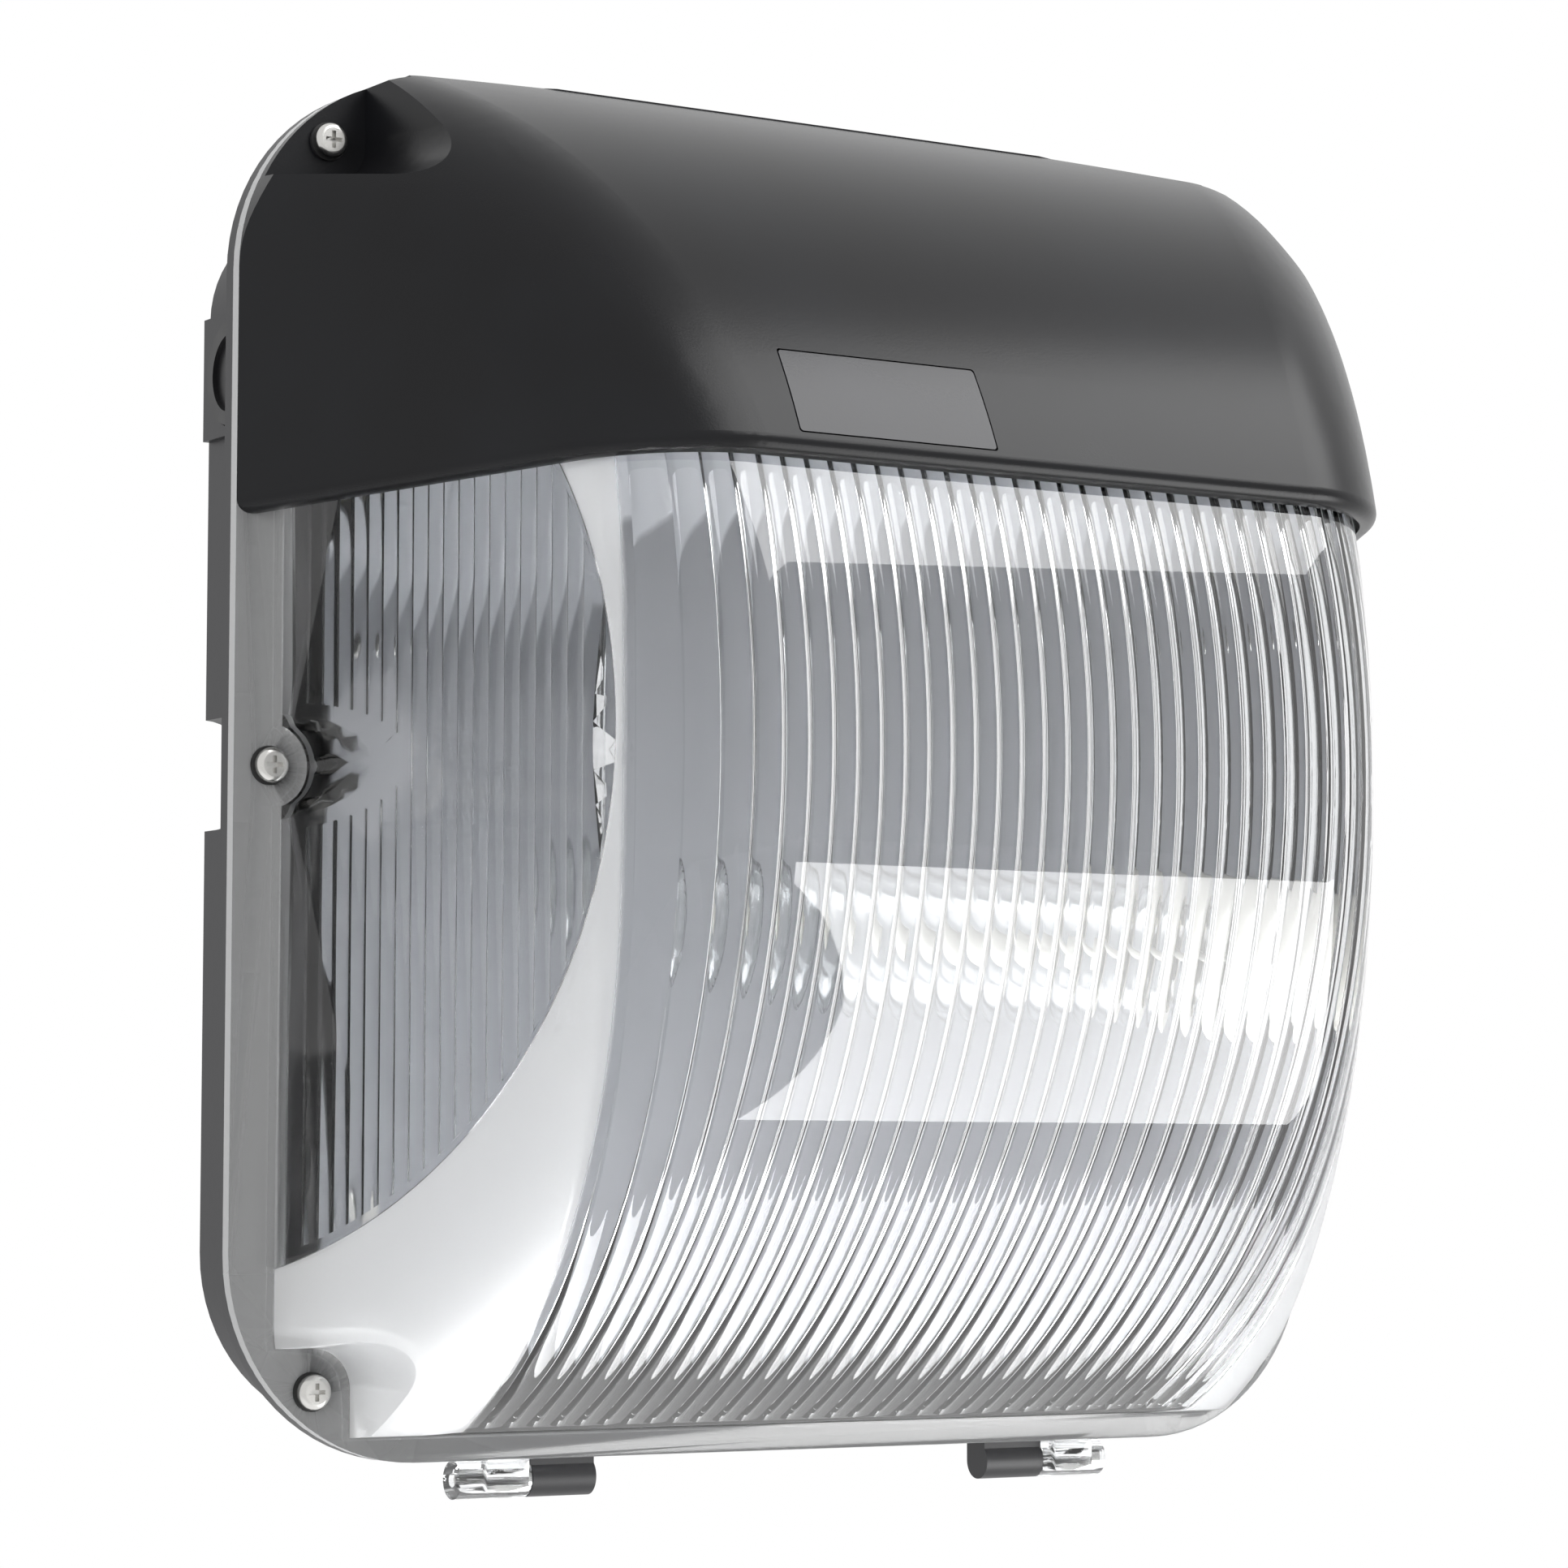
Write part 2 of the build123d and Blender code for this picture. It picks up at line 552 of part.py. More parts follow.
def hood_outline(shrink=0.0):
    """The rim, with a low crown along the top between the corner pockets."""
    shoulder = RIM_WIDTH / 2 - RIM_CORNER + POCKET_REACH - shrink
    edge = RIM_HEIGHT / 2 - shrink
    crown = Polygon(
        (-shoulder, edge - 20), (shoulder, edge - 20), (shoulder, edge - 0.5),
        (HOOD_CROWN_HALF, HOOD_TOP - shrink), (-HOOD_CROWN_HALF, HOOD_TOP - shrink),
        (-shoulder, edge - 0.5), align=None,
    )
    rim = RectangleRounded(RIM_WIDTH - 2 * shrink, RIM_HEIGHT - 2 * shrink, RIM_CORNER - shrink)
    return rim + crown


def hood_block(inset=0.0):
    return domed_block(HOOD_ARC, HOOD_BACK, RIM_WIDTH / 2, HOOD_SIDE_DRAFT, HOOD_CORNER, inset)


def hood_pocket(sx, grow, start):
    return forward(corner_notch(sx, 1, grow), start, 100, -POCKET_DRAFT)


def scoop(grow=0.0):
    """Relief in the top rear edge for a conduit that comes down to the top entry."""
    top = SCOOP_RADIUS + grow
    height = 60.0
    cone = Cone(top - height * tan(radians(SCOOP_TAPER)), top, height)
    return Pos(TOP_ENTRY_X, ENTRY_Y, HOOD_TOP - height / 2) * cone


def hood():
    outer = hood_block() & above_lip() & forward(hood_outline(), COVER_FLANGE, FAR / 2)
    lip_edges = [
        edge for edge in outer.edges()
        if abs(edge.position_at(0.5).Z - lip_height(JOINT_Y - edge.position_at(0.5).Y)) < 0.05
        and JOINT_Y - edge.position_at(0.5).Y > COVER_FLANGE + 0.1
    ]
    outer = fillet(lip_edges, LIP_ROLL)
    behind = forward(hood_outline(HOOD_WALL), COVER_FLANGE - 1, FAR / 2)
    hollow = hood_block(HOOD_WALL) & above_lip(LIP_BAND) & behind
    hollow += hood_block(LIP_THICKNESS) & above_lip(-5) & (behind - above_lip(LIP_BAND))
    for sx in (-1, 1):
        hollow -= hood_pocket(sx, HOOD_WALL, COVER_FLANGE - 2)
    relief = scoop(HOOD_WALL)
    hollow -= relief
    body = outer - hollow
    skirt_half = RIM_WIDTH / 2 - RIM_CORNER
    skirt = window(-skirt_half, skirt_half, RIM_HEIGHT / 2 + 0.3, HOOD_TOP + 10, 1)
    body += forward(skirt & hood_outline(), COVER_FLANGE + 1, -(COVER_FLANGE + 1 + HOOD_SKIRT))
    for sx in (-1, 1):
        body -= hood_pocket(sx, 0.0, HOOD_SEAT)
    body -= scoop()
    for x, z in TOP_SCREWS:
        body -= rod(SCREW_HOLE_RADIUS, x, z, 0, HOOD_SEAT + 2)
    return body - blank_panel(0.0)


def blank_panel(fit):
    """Snap-in blank on the front of the hood, flush with its curved face."""
    low = LIP_FRONT_Z + LIP_BAND - 1.5
    area = window(BLANK_LEFT_X + fit, BLANK_LEFT_X + BLANK_WIDTH - fit, low + fit,
                  BLANK_TOP_Z - fit, 0.8)
    skin = hood_block() - hood_block(BLANK_THICKNESS - fit / 10)
    return skin & forward(area, HOOD_SEAT + 40, FAR / 2)


def cover_screw(x, z, seat):
    """Pan head screw with a cross recess; its tip reaches past the joint plane."""
    under = seat + SEAL_THICKNESS
    head = fillet(rod(SCREW_HEAD_RADIUS, x, z, under, SCREW_HEAD_HEIGHT).edges()
                  .group_by(Axis.Y)[0], SCREW_HEAD_HEIGHT / 2)
    shank = rod(SCREW_RADIUS, x, z, under, -(under + SCREW_ENGAGEMENT))
    screw = head + chamfer(shank.edges().group_by(Axis.Y)[-1], SCREW_RADIUS / 4)
    for turn in (0, 90):
        slot = Pos(x, z) * Rot(0, 0, turn) * Rectangle(SCREW_HEAD_RADIUS, SCREW_HEAD_RADIUS / 4)
        screw -= forward(slot, under + SCREW_HEAD_HEIGHT, -SCREW_HEAD_HEIGHT * 0.6)
    return screw


def screw_seal(x, z, seat):
    ring = Circle(SEAL_RADIUS) - Circle(SCREW_RADIUS + 0.05)
    return forward(Pos(x, z) * ring, seat, SEAL_THICKNESS)


# ---- the housing and what is fixed to it
def entry_planes():
    """Planes on the box's outer faces at the three conduit entries, looking outwards."""
    planes = []
    for side in (-1, 1):
        centre = (side * BOX_HALF_WIDTH, ENTRY_Y, SIDE_ENTRY_Z)
        planes.append(Plane(origin=centre, x_dir=(0, 0, 1), z_dir=(side, 0, 0)))
    centre = (TOP_ENTRY_X, ENTRY_Y, BOX_TOP)
    planes.append(Plane(origin=centre, x_dir=(1, 0, 0), z_dir=(0, 0, 1)))
    return planes


def stud(plane, radius, low, high):
    """Cylinder along a plane's normal, from low to high."""
    return plane * Pos(0, 0, (low + high) / 2) * Cylinder(radius, high - low)


def entry_body(plane):
    """Outer pad and inner boss that thicken the wall round an entry."""
    pad = plane * Pos(0, 0, 0) * Box(2 * ENTRY_PAD_HALF, FAR, 2 * ENTRY_PAD_HEIGHT)
    boss = stud(plane, ENTRY_BOSS_RADIUS, -ENTRY_BOSS_DEPTH, 0)
    return (pad & slab(-HOUSING_DEPTH, -HOUSING_FLANGE)) + (boss & slab(-HOUSING_DEPTH, -LEDGE))


def entry_cut(plane):
    face = ENTRY_PAD_HEIGHT - ENTRY_FACE_DEPTH
    bore = stud(plane, ENTRY_RADIUS, -ENTRY_BOSS_DEPTH - 1, ENTRY_PAD_HEIGHT + 1)
    return bore + stud(plane, ENTRY_FACE_RADIUS, face, ENTRY_PAD_HEIGHT + 1)


def pillar_spots():
    spots = []
    for side in (-1, 1):
        for z in TRAY_PILLAR_Z:
            spots.append((side * PILLAR_X, z, TRAY_BELOW_JOINT + TRAY_THICKNESS))
        for z in REFLECTOR_PILLAR_Z:
            spots.append((side * REFLECTOR_PILLAR_X, z, REFLECTOR_BELOW_JOINT + REFLECTOR_SHEET))
    return spots


FIXINGS = [(side * FIXING_X, z) for side in (-1, 1) for z in (FIXING_TOP_Z, FIXING_BOTTOM_Z)]


def fixed_knuckles():
    """Housing knuckles, inboard of the diffuser's."""
    knuckles = []
    for side in (-1, 1):
        x0 = side * FIXED_KNUCKLE_START
        x1 = side * (KNUCKLE_SPLIT - KNUCKLE_GAP / 2)
        barrel = cross_rod(KNUCKLE_RADIUS, HINGE_Y, HINGE_Z, x0, x1)
        tab = block(x0, x1, JOINT_Y + KNUCKLE_GAP, HINGE_Y + KNUCKLE_RADIUS, HINGE_Z,
                    1 - RIM_HEIGHT / 2)
        knuckles.append(barrel + tab)
    return knuckles


def housing():
    body = forward(box_outline(), 0, -HOUSING_DEPTH) + forward(rim_outline(), 0, -HOUSING_FLANGE)
    body -= forward(box_outline(HOUSING_WALL), -LEDGE, BACK_DEPTH + LEDGE)
    opening = seal_outline(DIFFUSER_WALL + OPENING_MARGIN)
    inside = window(-FAR / 2, FAR / 2, -FAR / 2, BOX_TOP - HOUSING_WALL - 1, 1)
    body -= forward(opening & inside, 1, -LEDGE - 1.5)
    body -= forward(gasket_outline(GASKET_SIDE_PLAY), 1, -GASKET_HEIGHT - 1)
    for x, z in ALL_SCREWS:
        body += rod(BOSS_RADIUS, x, z, -1, 1 - BOSS_LENGTH)
        body -= rod(INSERT_RADIUS, x, z, 1, -INSERT_LENGTH - 1.5)
        body -= rod(INSERT_BORE, x, z, 1, -SCREW_ENGAGEMENT - 1.5)
    for plane in entry_planes():
        body += entry_body(plane)
        body -= entry_cut(plane)
    for x, z, level in pillar_spots():
        body += rod(PILLAR_RADIUS, x, z, BACK_DEPTH, -level - BACK_DEPTH)
        body -= rod(PILLAR_BORE, x, z, 1 - level, -TRAY_SCREW_LENGTH - 1)
    for x, z in FIXINGS:
        body += rod(FIXING_BOSS_RADIUS, x, z, BACK_DEPTH, FIXING_BOSS_HEIGHT)
        body -= rod(FIXING_RADIUS, x, z, 1 - HOUSING_DEPTH - 2, HOUSING_WALL + 5)
    body -= rod(REAR_ENTRY_RADIUS, 0, REAR_ENTRY_Z, -HOUSING_DEPTH - 1, HOUSING_WALL + 2)
    for knuckle in fixed_knuckles():
        body += knuckle
    for side in (-1, 1):
        start = side * (FIXED_KNUCKLE_START + 3)
        body -= cross_rod(PIN_RADIUS, HINGE_Y, HINGE_Z, start, side * (KNUCKLE_SPLIT + 1))
    return body


def gasket_outline(play=0.0):
    middle = DIFFUSER_WALL / 2
    outer = seal_outline(middle - GASKET_WIDTH / 2 - play)
    return outer - seal_outline(middle + GASKET_WIDTH / 2 + play)


def gasket():
    return forward(gasket_outline(), 0, -GASKET_HEIGHT)


def screw_inserts():
    inserts = []
    for x, z in ALL_SCREWS:
        ring = Circle(INSERT_RADIUS) - Circle(INSERT_BORE)
        inserts.append(forward(Pos(x, z) * ring, -0.5, -INSERT_LENGTH))
    return inserts


def hinge_pins():
    pins = []
    for side in (-1, 1):
        start = side * (FIXED_KNUCKLE_START + 3)
        end = side * (MOVING_KNUCKLE_END - PIN_END_INSET)
        pins.append(cross_rod(PIN_RADIUS, HINGE_Y, HINGE_Z, start, end))
    return pins


def entry_plug(plane):
    face = ENTRY_PAD_HEIGHT - ENTRY_FACE_DEPTH + SEAL_THICKNESS
    head = stud(plane, ENTRY_FACE_RADIUS - 2 * PLUG_CLEARANCE, face, face + PLUG_HEAD_HEIGHT)
    body = stud(plane, ENTRY_RADIUS - PLUG_CLEARANCE, -PLUG_LENGTH, face)
    hollow = stud(plane, ENTRY_RADIUS - 3, -PLUG_LENGTH - 1, face - 1)
    top = face + PLUG_HEAD_HEIGHT
    dish = stud(plane, PLUG_DISH_RADIUS, top - PLUG_DISH_DEPTH, top + 1)
    pip = stud(plane, PLUG_PIP_RADIUS, top - PLUG_DISH_DEPTH - 0.5, top)
    return head + body - hollow - dish + pip


def entry_seal(plane):
    face = ENTRY_PAD_HEIGHT - ENTRY_FACE_DEPTH
    ring = stud(plane, ENTRY_FACE_RADIUS - 0.4, face, face + SEAL_THICKNESS)
    return ring - stud(plane, ENTRY_RADIUS, face - 1, face + 2)


def cable_grommet():
    """Blind rubber grommet in the rear entry, pierced when a cable comes from behind."""
    lip = rod(REAR_ENTRY_RADIUS + GROMMET_LIP, 0, REAR_ENTRY_Z, BACK_DEPTH, GROMMET_LIP)
    stem = rod(REAR_ENTRY_RADIUS, 0, REAR_ENTRY_Z, 0.5 - HOUSING_DEPTH, HOUSING_WALL)
    hollow = rod(REAR_ENTRY_RADIUS - 2, 0, REAR_ENTRY_Z, BACK_DEPTH - 1, GROMMET_LIP + 3)
    return lip + stem - hollow


def fixing_washer(x, z):
    ring = Circle(FIXING_BOSS_RADIUS - 0.5) - Circle(FIXING_RADIUS)
    return forward(Pos(x, z) * ring, BACK_DEPTH + FIXING_BOSS_HEIGHT, FIXING_SEAL_HEIGHT)


# ---- gear behind the top deflector
BALLAST_SCREWS_X = [
    BALLAST_X + side * (BALLAST_LENGTH + BALLAST_FOOT) / 2 for side in (-1, 1)]


def gear_tray():
    """Steel plate with its long edges folded back, cut for the parts that pass through."""
    width = 2 * TRAY_HALF_WIDTH
    plate = forward(window(-TRAY_HALF_WIDTH, TRAY_HALF_WIDTH, TRAY_BOTTOM_Z, TRAY_TOP_Z, 4),
                    TRAY_FACE, -TRAY_THICKNESS)
    for z0, z1 in ((TRAY_BOTTOM_Z, TRAY_BOTTOM_Z + TRAY_THICKNESS),
                   (TRAY_TOP_Z - TRAY_THICKNESS, TRAY_TOP_Z)):
        fold = Pos(0, (z0 + z1) / 2) * Rectangle(width - 8, z1 - z0)
        plate += forward(fold, TRAY_FACE - TRAY_THICKNESS, -TRAY_RETURN)
    holes = [(side * PILLAR_X, z) for side in (-1, 1) for z in TRAY_PILLAR_Z]
    for x, z in holes + [(x, BALLAST_Z) for x in BALLAST_SCREWS_X] + [(EARTH_X, EARTH_Z)]:
        plate -= rod(TRAY_SCREW_RADIUS + 0.3, x, z, TRAY_FACE + 1, -TRAY_THICKNESS - 2)
    return plate - rod(IGNITOR_STUD_RADIUS + 0.2, IGNITOR_X, BALLAST_Z, TRAY_FACE + 1,
                       -TRAY_THICKNESS - 2)


def small_screw(x, z, seat):
    """Self-tapping screw, driven from the front into a pillar or a sheet."""
    head = rod(TRAY_SCREW_HEAD, x, z, seat, TRAY_SCREW_HEIGHT)
    head = chamfer(head.edges().group_by(Axis.Y)[0], TRAY_SCREW_HEIGHT / 3)
    return head + rod(TRAY_SCREW_RADIUS, x, z, seat, 1 - TRAY_SCREW_LENGTH)


def reflector():
    """One folded sheet: a flat back panel, a deflector sloping forward under the hood,
    and stiffening returns along both ends."""
    face = PANEL_FACE
    path = FilletPolyline(
        (face - REFLECTOR_RETURN, REFLECTOR_BOTTOM_Z), (face, REFLECTOR_BOTTOM_Z),
        (face, REFLECTOR_FOLD_Z), (REFLECTOR_TIP_DEPTH, REFLECTOR_TIP_Z),
        (REFLECTOR_TIP_DEPTH, REFLECTOR_TIP_Z + REFLECTOR_RETURN), radius=2.5,
    )
    sheet = make_face(offset(path, REFLECTOR_SHEET, side=Side.LEFT, closed=True).edges())
    body = extrude(PROFILE_PLANE * sheet, amount=REFLECTOR_HALF_WIDTH, both=True)
    lean = REFLECTOR_TIP_NARROWING / REFLECTOR_TIP_DEPTH
    tip = REFLECTOR_HALF_WIDTH - lean * (REFLECTOR_TIP_DEPTH + 6)
    plan = Polygon(
        (-REFLECTOR_HALF_WIDTH, -20), (REFLECTOR_HALF_WIDTH, -20), (REFLECTOR_HALF_WIDTH, 0),
        (tip, REFLECTOR_TIP_DEPTH + 6), (-tip, REFLECTOR_TIP_DEPTH + 6),
        (-REFLECTOR_HALF_WIDTH, 0), align=None,
    )
    body = body & extrude(PLAN_PLANE * plan, amount=FAR / 2, both=True)
    for sx in (-1, 1):
        body -= forward(side_notch(sx, 9.0), 20, -40)
        body -= forward(corner_notch(sx, -1, 9.0), 20, -40)
    for x, z in [(side * REFLECTOR_PILLAR_X, z) for side in (-1, 1) for z in REFLECTOR_PILLAR_Z]:
        body -= rod(TRAY_SCREW_RADIUS + 0.3, x, z, 5, -12)
    for x, z in BRACKET_SCREWS:
        body -= rod(TRAY_SCREW_RADIUS, x, z, 5, -12)
    return body


def ballast():
    """Electronic control gear: a moulded case with a stepped lid and a foot at each end."""
    length = BALLAST_LENGTH
    height = BALLAST_HEIGHT
    rise = BALLAST_RISE
    case = forward(Pos(BALLAST_X, BALLAST_Z) * RectangleRounded(length, height, 2),
                   TRAY_FACE, rise)
    case = fillet(case.edges().group_by(Axis.Y)[0], 1.5)
    feet = Pos(BALLAST_X, BALLAST_Z) * RectangleRounded(length + 2 * BALLAST_FOOT, 16, 3)
    case += forward(feet, TRAY_FACE, 2)
    for x in BALLAST_SCREWS_X:
        case -= rod(TRAY_SCREW_RADIUS + 0.3, x, BALLAST_Z, TRAY_FACE - 1, 5)
    for index in range(6):
        x = BALLAST_X + length / 2 - 8 - index * 5
        case -= block(x - 1.2, x + 1.2, JOINT_Y - TRAY_FACE - rise + 4,
                      JOINT_Y - TRAY_FACE - rise + 8, BALLAST_Z - height, BALLAST_Z - height / 2 + 5)
    return case


def ignitor():
    can = rod(IGNITOR_RADIUS, IGNITOR_X, BALLAST_Z, TRAY_FACE, IGNITOR_LENGTH - 14)
    can = fillet(can.edges().group_by(Axis.Y)[0], 1.5)
    return can + rod(IGNITOR_STUD_RADIUS, IGNITOR_X, BALLAST_Z, TRAY_FACE, -IGNITOR_STUD_LENGTH)


def ignitor_nut():
    start = TRAY_FACE - TRAY_THICKNESS
    outline = RegularPolygon(IGNITOR_NUT_RADIUS, 6) - Circle(IGNITOR_STUD_RADIUS + 0.05)
    return forward(Pos(IGNITOR_X, BALLAST_Z) * outline, start, -IGNITOR_NUT_HEIGHT)


def terminal_block():
    """Screw terminals: cable ways from below and a screw well above each one."""
    width, height, rise = TERMINAL_SIZE
    body = forward(Pos(TERMINAL_X, TERMINAL_Z) * RectangleRounded(width, height, 1),
                   TRAY_FACE, rise)
    pitch = width / TERMINAL_WAYS
    for index in range(TERMINAL_WAYS):
        x = TERMINAL_X - width / 2 + pitch * (index + 0.5)
        body -= rod(2.2, x, TERMINAL_Z, TRAY_FACE + rise - 5, 6)
        way = Pos(x, JOINT_Y - TRAY_FACE - 5, TERMINAL_Z) * Cylinder(1.9, height + 2)
        body -= way
    for index in range(1, TERMINAL_WAYS):
        x = TERMINAL_X - width / 2 + pitch * index
        body -= block(x - 0.4, x + 0.4, JOINT_Y - TRAY_FACE - rise - 1,
                      JOINT_Y - TRAY_FACE - rise + 3, TERMINAL_Z - height, TERMINAL_Z + height)
    return body


def terminal_screws():
    width, height, rise = TERMINAL_SIZE
    pitch = width / TERMINAL_WAYS
    screws = []
    for index in range(TERMINAL_WAYS):
        x = TERMINAL_X - width / 2 + pitch * (index + 0.5)
        screw = rod(2.1, x, TERMINAL_Z, TRAY_FACE + rise - 5, 3)
        slot = Pos(x, TERMINAL_Z) * Rectangle(4.5, 0.8)
        screws.append(screw - forward(slot, TRAY_FACE + rise - 2, -1))
    return screws


def earth_terminal():
    """Brass earth stud through the tray, with its nut and washer."""
    body = rod(TRAY_SCREW_RADIUS, EARTH_X, EARTH_Z, TRAY_FACE - 4, 10)
    body += rod(4.2, EARTH_X, EARTH_Z, TRAY_FACE, 0.8)
    body += forward(Pos(EARTH_X, EARTH_Z) * RegularPolygon(3.9, 6), TRAY_FACE + 0.8, 3)
    return body + rod(3.2, EARTH_X, EARTH_Z, TRAY_FACE - TRAY_THICKNESS, -2.5)


# ---- lamp and its holder
BRACKET_SCREWS = [(HOLDER_END_X - 12, LAMP_Z + side * 9) for side in (-1, 1)]


def along_lamp(radius, x0, x1, depth=LAMP_DEPTH, z=LAMP_Z):
    return cross_rod(radius, JOINT_Y - depth, z, x0, x1)


def lampholder():
    """Porcelain screw lampholder with a stepped skirt and a contact well."""
    body = along_lamp(HOLDER_RADIUS, HOLDER_MOUTH_X, HOLDER_END_X - 12)
    body += along_lamp(HOLDER_RADIUS - 3, HOLDER_END_X - 12, HOLDER_END_X)
    body = fillet(body.edges().group_by(Axis.X)[0], 2)
    body -= along_lamp(HOLDER_BORE, HOLDER_MOUTH_X - 1, HOLDER_MOUTH_X + HOLDER_BORE_DEPTH)
    for side in (-1, 1):
        body -= along_lamp(TRAY_SCREW_RADIUS, HOLDER_END_X - 10, HOLDER_END_X + 1,
                           z=LAMP_Z + side * HOLDER_SCREW_REACH)
    return body


def lampholder_bracket():
    """Bent strip: a foot on the back panel and an upright behind the lampholder."""
    half = BRACKET_WIDTH / 2
    foot_end = HOLDER_END_X - 22
    top = LAMP_DEPTH + HOLDER_RADIUS - 4
    foot = block(foot_end, HOLDER_END_X + BRACKET_SHEET, JOINT_Y - PANEL_FACE - BRACKET_SHEET,
                 JOINT_Y - PANEL_FACE, LAMP_Z - half, LAMP_Z + half)
    upright = block(HOLDER_END_X, HOLDER_END_X + BRACKET_SHEET, JOINT_Y - top,
                    JOINT_Y - PANEL_FACE, LAMP_Z - half, LAMP_Z + half)
    body = foot + upright
    for x, z in BRACKET_SCREWS:
        body -= rod(TRAY_SCREW_RADIUS + 0.3, x, z, 5, -12)
    for side in (-1, 1):
        body -= along_lamp(TRAY_SCREW_RADIUS + 0.3, HOLDER_END_X - 1, HOLDER_END_X + 4,
                           z=LAMP_Z + side * HOLDER_SCREW_REACH)
    return body


def lampholder_screws():
    screws = []
    for side in (-1, 1):
        z = LAMP_Z + side * HOLDER_SCREW_REACH
        seat = HOLDER_END_X + BRACKET_SHEET
        head = along_lamp(TRAY_SCREW_HEAD, seat, seat + TRAY_SCREW_HEIGHT, z=z)
        screws.append(head + along_lamp(TRAY_SCREW_RADIUS, seat - TRAY_SCREW_LENGTH, seat, z=z))
    return screws


def lamp_profile(points):
    """Solid of revolution about the lamp's axis, from (distance from the holder, radius)."""
    mirror = [(HOLDER_MOUTH_X - x, r) for x, r in points]
    outline = make_face(Polyline(*mirror, close=True).edges())
    return Pos(0, JOINT_Y - LAMP_DEPTH, LAMP_Z) * revolve(outline, Axis.X)


def lamp_bulb():
    """Clear tubular outer bulb, open at the neck where the cap closes it."""
    neck = LAMP_CAP_RADIUS - LAMP_CAP_WALL - LAMP_NECK_GAP
    end = LAMP_GLASS_LENGTH
    radius = LAMP_GLASS_RADIUS
    wall = LAMP_GLASS_WALL
    outer = [(-LAMP_NECK_SEAT, neck), (8, neck), (16, radius), (end - radius, radius)]
    inner = [(end - radius, radius - wall), (16, radius - wall), (8, neck - wall),
             (-LAMP_NECK_SEAT, neck - wall)]
    steps = 8
    dome = [(end - radius + radius * sin(radians(90 * k / steps)), radius * cos(radians(90 * k / steps)))
            for k in range(1, steps + 1)]
    hollow = [(end - radius + (radius - wall) * sin(radians(90 * k / steps)),
               (radius - wall) * cos(radians(90 * k / steps))) for k in range(steps, 0, -1)]
    return lamp_profile(outer + dome + hollow + inner)


def lamp_cap():
    start = HOLDER_MOUTH_X + HOLDER_BORE_DEPTH - 0.5
    body = along_lamp(LAMP_CAP_RADIUS, start - LAMP_CAP_LENGTH, start - 3)
    body += along_lamp(LAMP_CAP_RADIUS / 2, start - 4, start)
    socket = along_lamp(LAMP_CAP_RADIUS - LAMP_CAP_WALL, start - LAMP_CAP_LENGTH - 1,
                        HOLDER_MOUTH_X + LAMP_NECK_SEAT)
    return body - socket


def lamp_arc_tube():
    """Ceramic arc tube on its two support wires, standing on the cap."""
    middle = HOLDER_MOUTH_X - LAMP_GLASS_LENGTH * 0.5
    body = along_lamp(ARC_TUBE_RADIUS, middle - ARC_TUBE_LENGTH / 2, middle + ARC_TUBE_LENGTH / 2)
    return body + along_lamp(0.9, middle, HOLDER_MOUTH_X + LAMP_NECK_SEAT)


# ---- write every piece
os.makedirs("parts", exist_ok=True)
save("back_housing", housing())
save("cover_gasket", gasket())
save("screw_inserts", Compound(screw_inserts()))
save("hinge_pins", Compound(hinge_pins()))
save("conduit_plugs", Compound([entry_plug(plane) for plane in entry_planes()]))
save("conduit_plug_seals", Compound([entry_seal(plane) for plane in entry_planes()]))
save("rear_cable_grommet", cable_grommet())
save("wall_fixing_washers", Compound([fixing_washer(x, z) for x, z in FIXINGS]))
save("gear_tray", gear_tray())
save("reflector", reflector())
save("gear_tray_screws", Compound([
    small_screw(side * PILLAR_X, z, TRAY_FACE) for side in (-1, 1) for z in TRAY_PILLAR_Z]))
save("reflector_screws", Compound([
    small_screw(side * REFLECTOR_PILLAR_X, z, PANEL_FACE)
    for side in (-1, 1) for z in REFLECTOR_PILLAR_Z]))
save("ballast", ballast())
save("ballast_screws", Compound([small_screw(x, BALLAST_Z, TRAY_FACE + 2) for x in BALLAST_SCREWS_X]))
save("ignitor", ignitor())
save("ignitor_nut", ignitor_nut())
save("terminal_block", terminal_block())
save("terminal_screws", Compound(terminal_screws()))
save("earth_terminal", earth_terminal())
save("lampholder", lampholder())
save("lampholder_bracket", lampholder_bracket())
save("lampholder_screws", Compound(lampholder_screws()))
save("bracket_screws", Compound([
    small_screw(x, z, PANEL_FACE + BRACKET_SHEET) for x, z in BRACKET_SCREWS]))
save("lamp_bulb", lamp_bulb())
save("lamp_cap", lamp_cap())
save("lamp_arc_tube", lamp_arc_tube())
save("diffuser", diffuser())
save("hood", hood())
save("hood_blank_panel", blank_panel(BLANK_FIT))
save("hood_screws", Compound([cover_screw(x, z, HOOD_SEAT) for x, z in TOP_SCREWS]))
save("side_screws", Compound([cover_screw(x, z, COVER_FLANGE) for x, z in SIDE_SCREWS]))
save("bottom_screws", Compound([cover_screw(x, z, COVER_FLANGE) for x, z in BOTTOM_SCREWS]))
save("screw_seals", Compound(
    [screw_seal(x, z, HOOD_SEAT) for x, z in TOP_SCREWS]
    + [screw_seal(x, z, COVER_FLANGE) for x, z in SIDE_SCREWS + BOTTOM_SCREWS]))
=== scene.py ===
# %% [markdown]
# This notebook gives an outdoor wall pack light its looks, round its finished CAD model.
# The model is loaded first and never moved, so every new piece can be placed by its real
# millimetres. Work on the looks of a product starts from its real form in the same way.

# %% Load the frame
import json
from math import cos, pi, radians, sin, tan

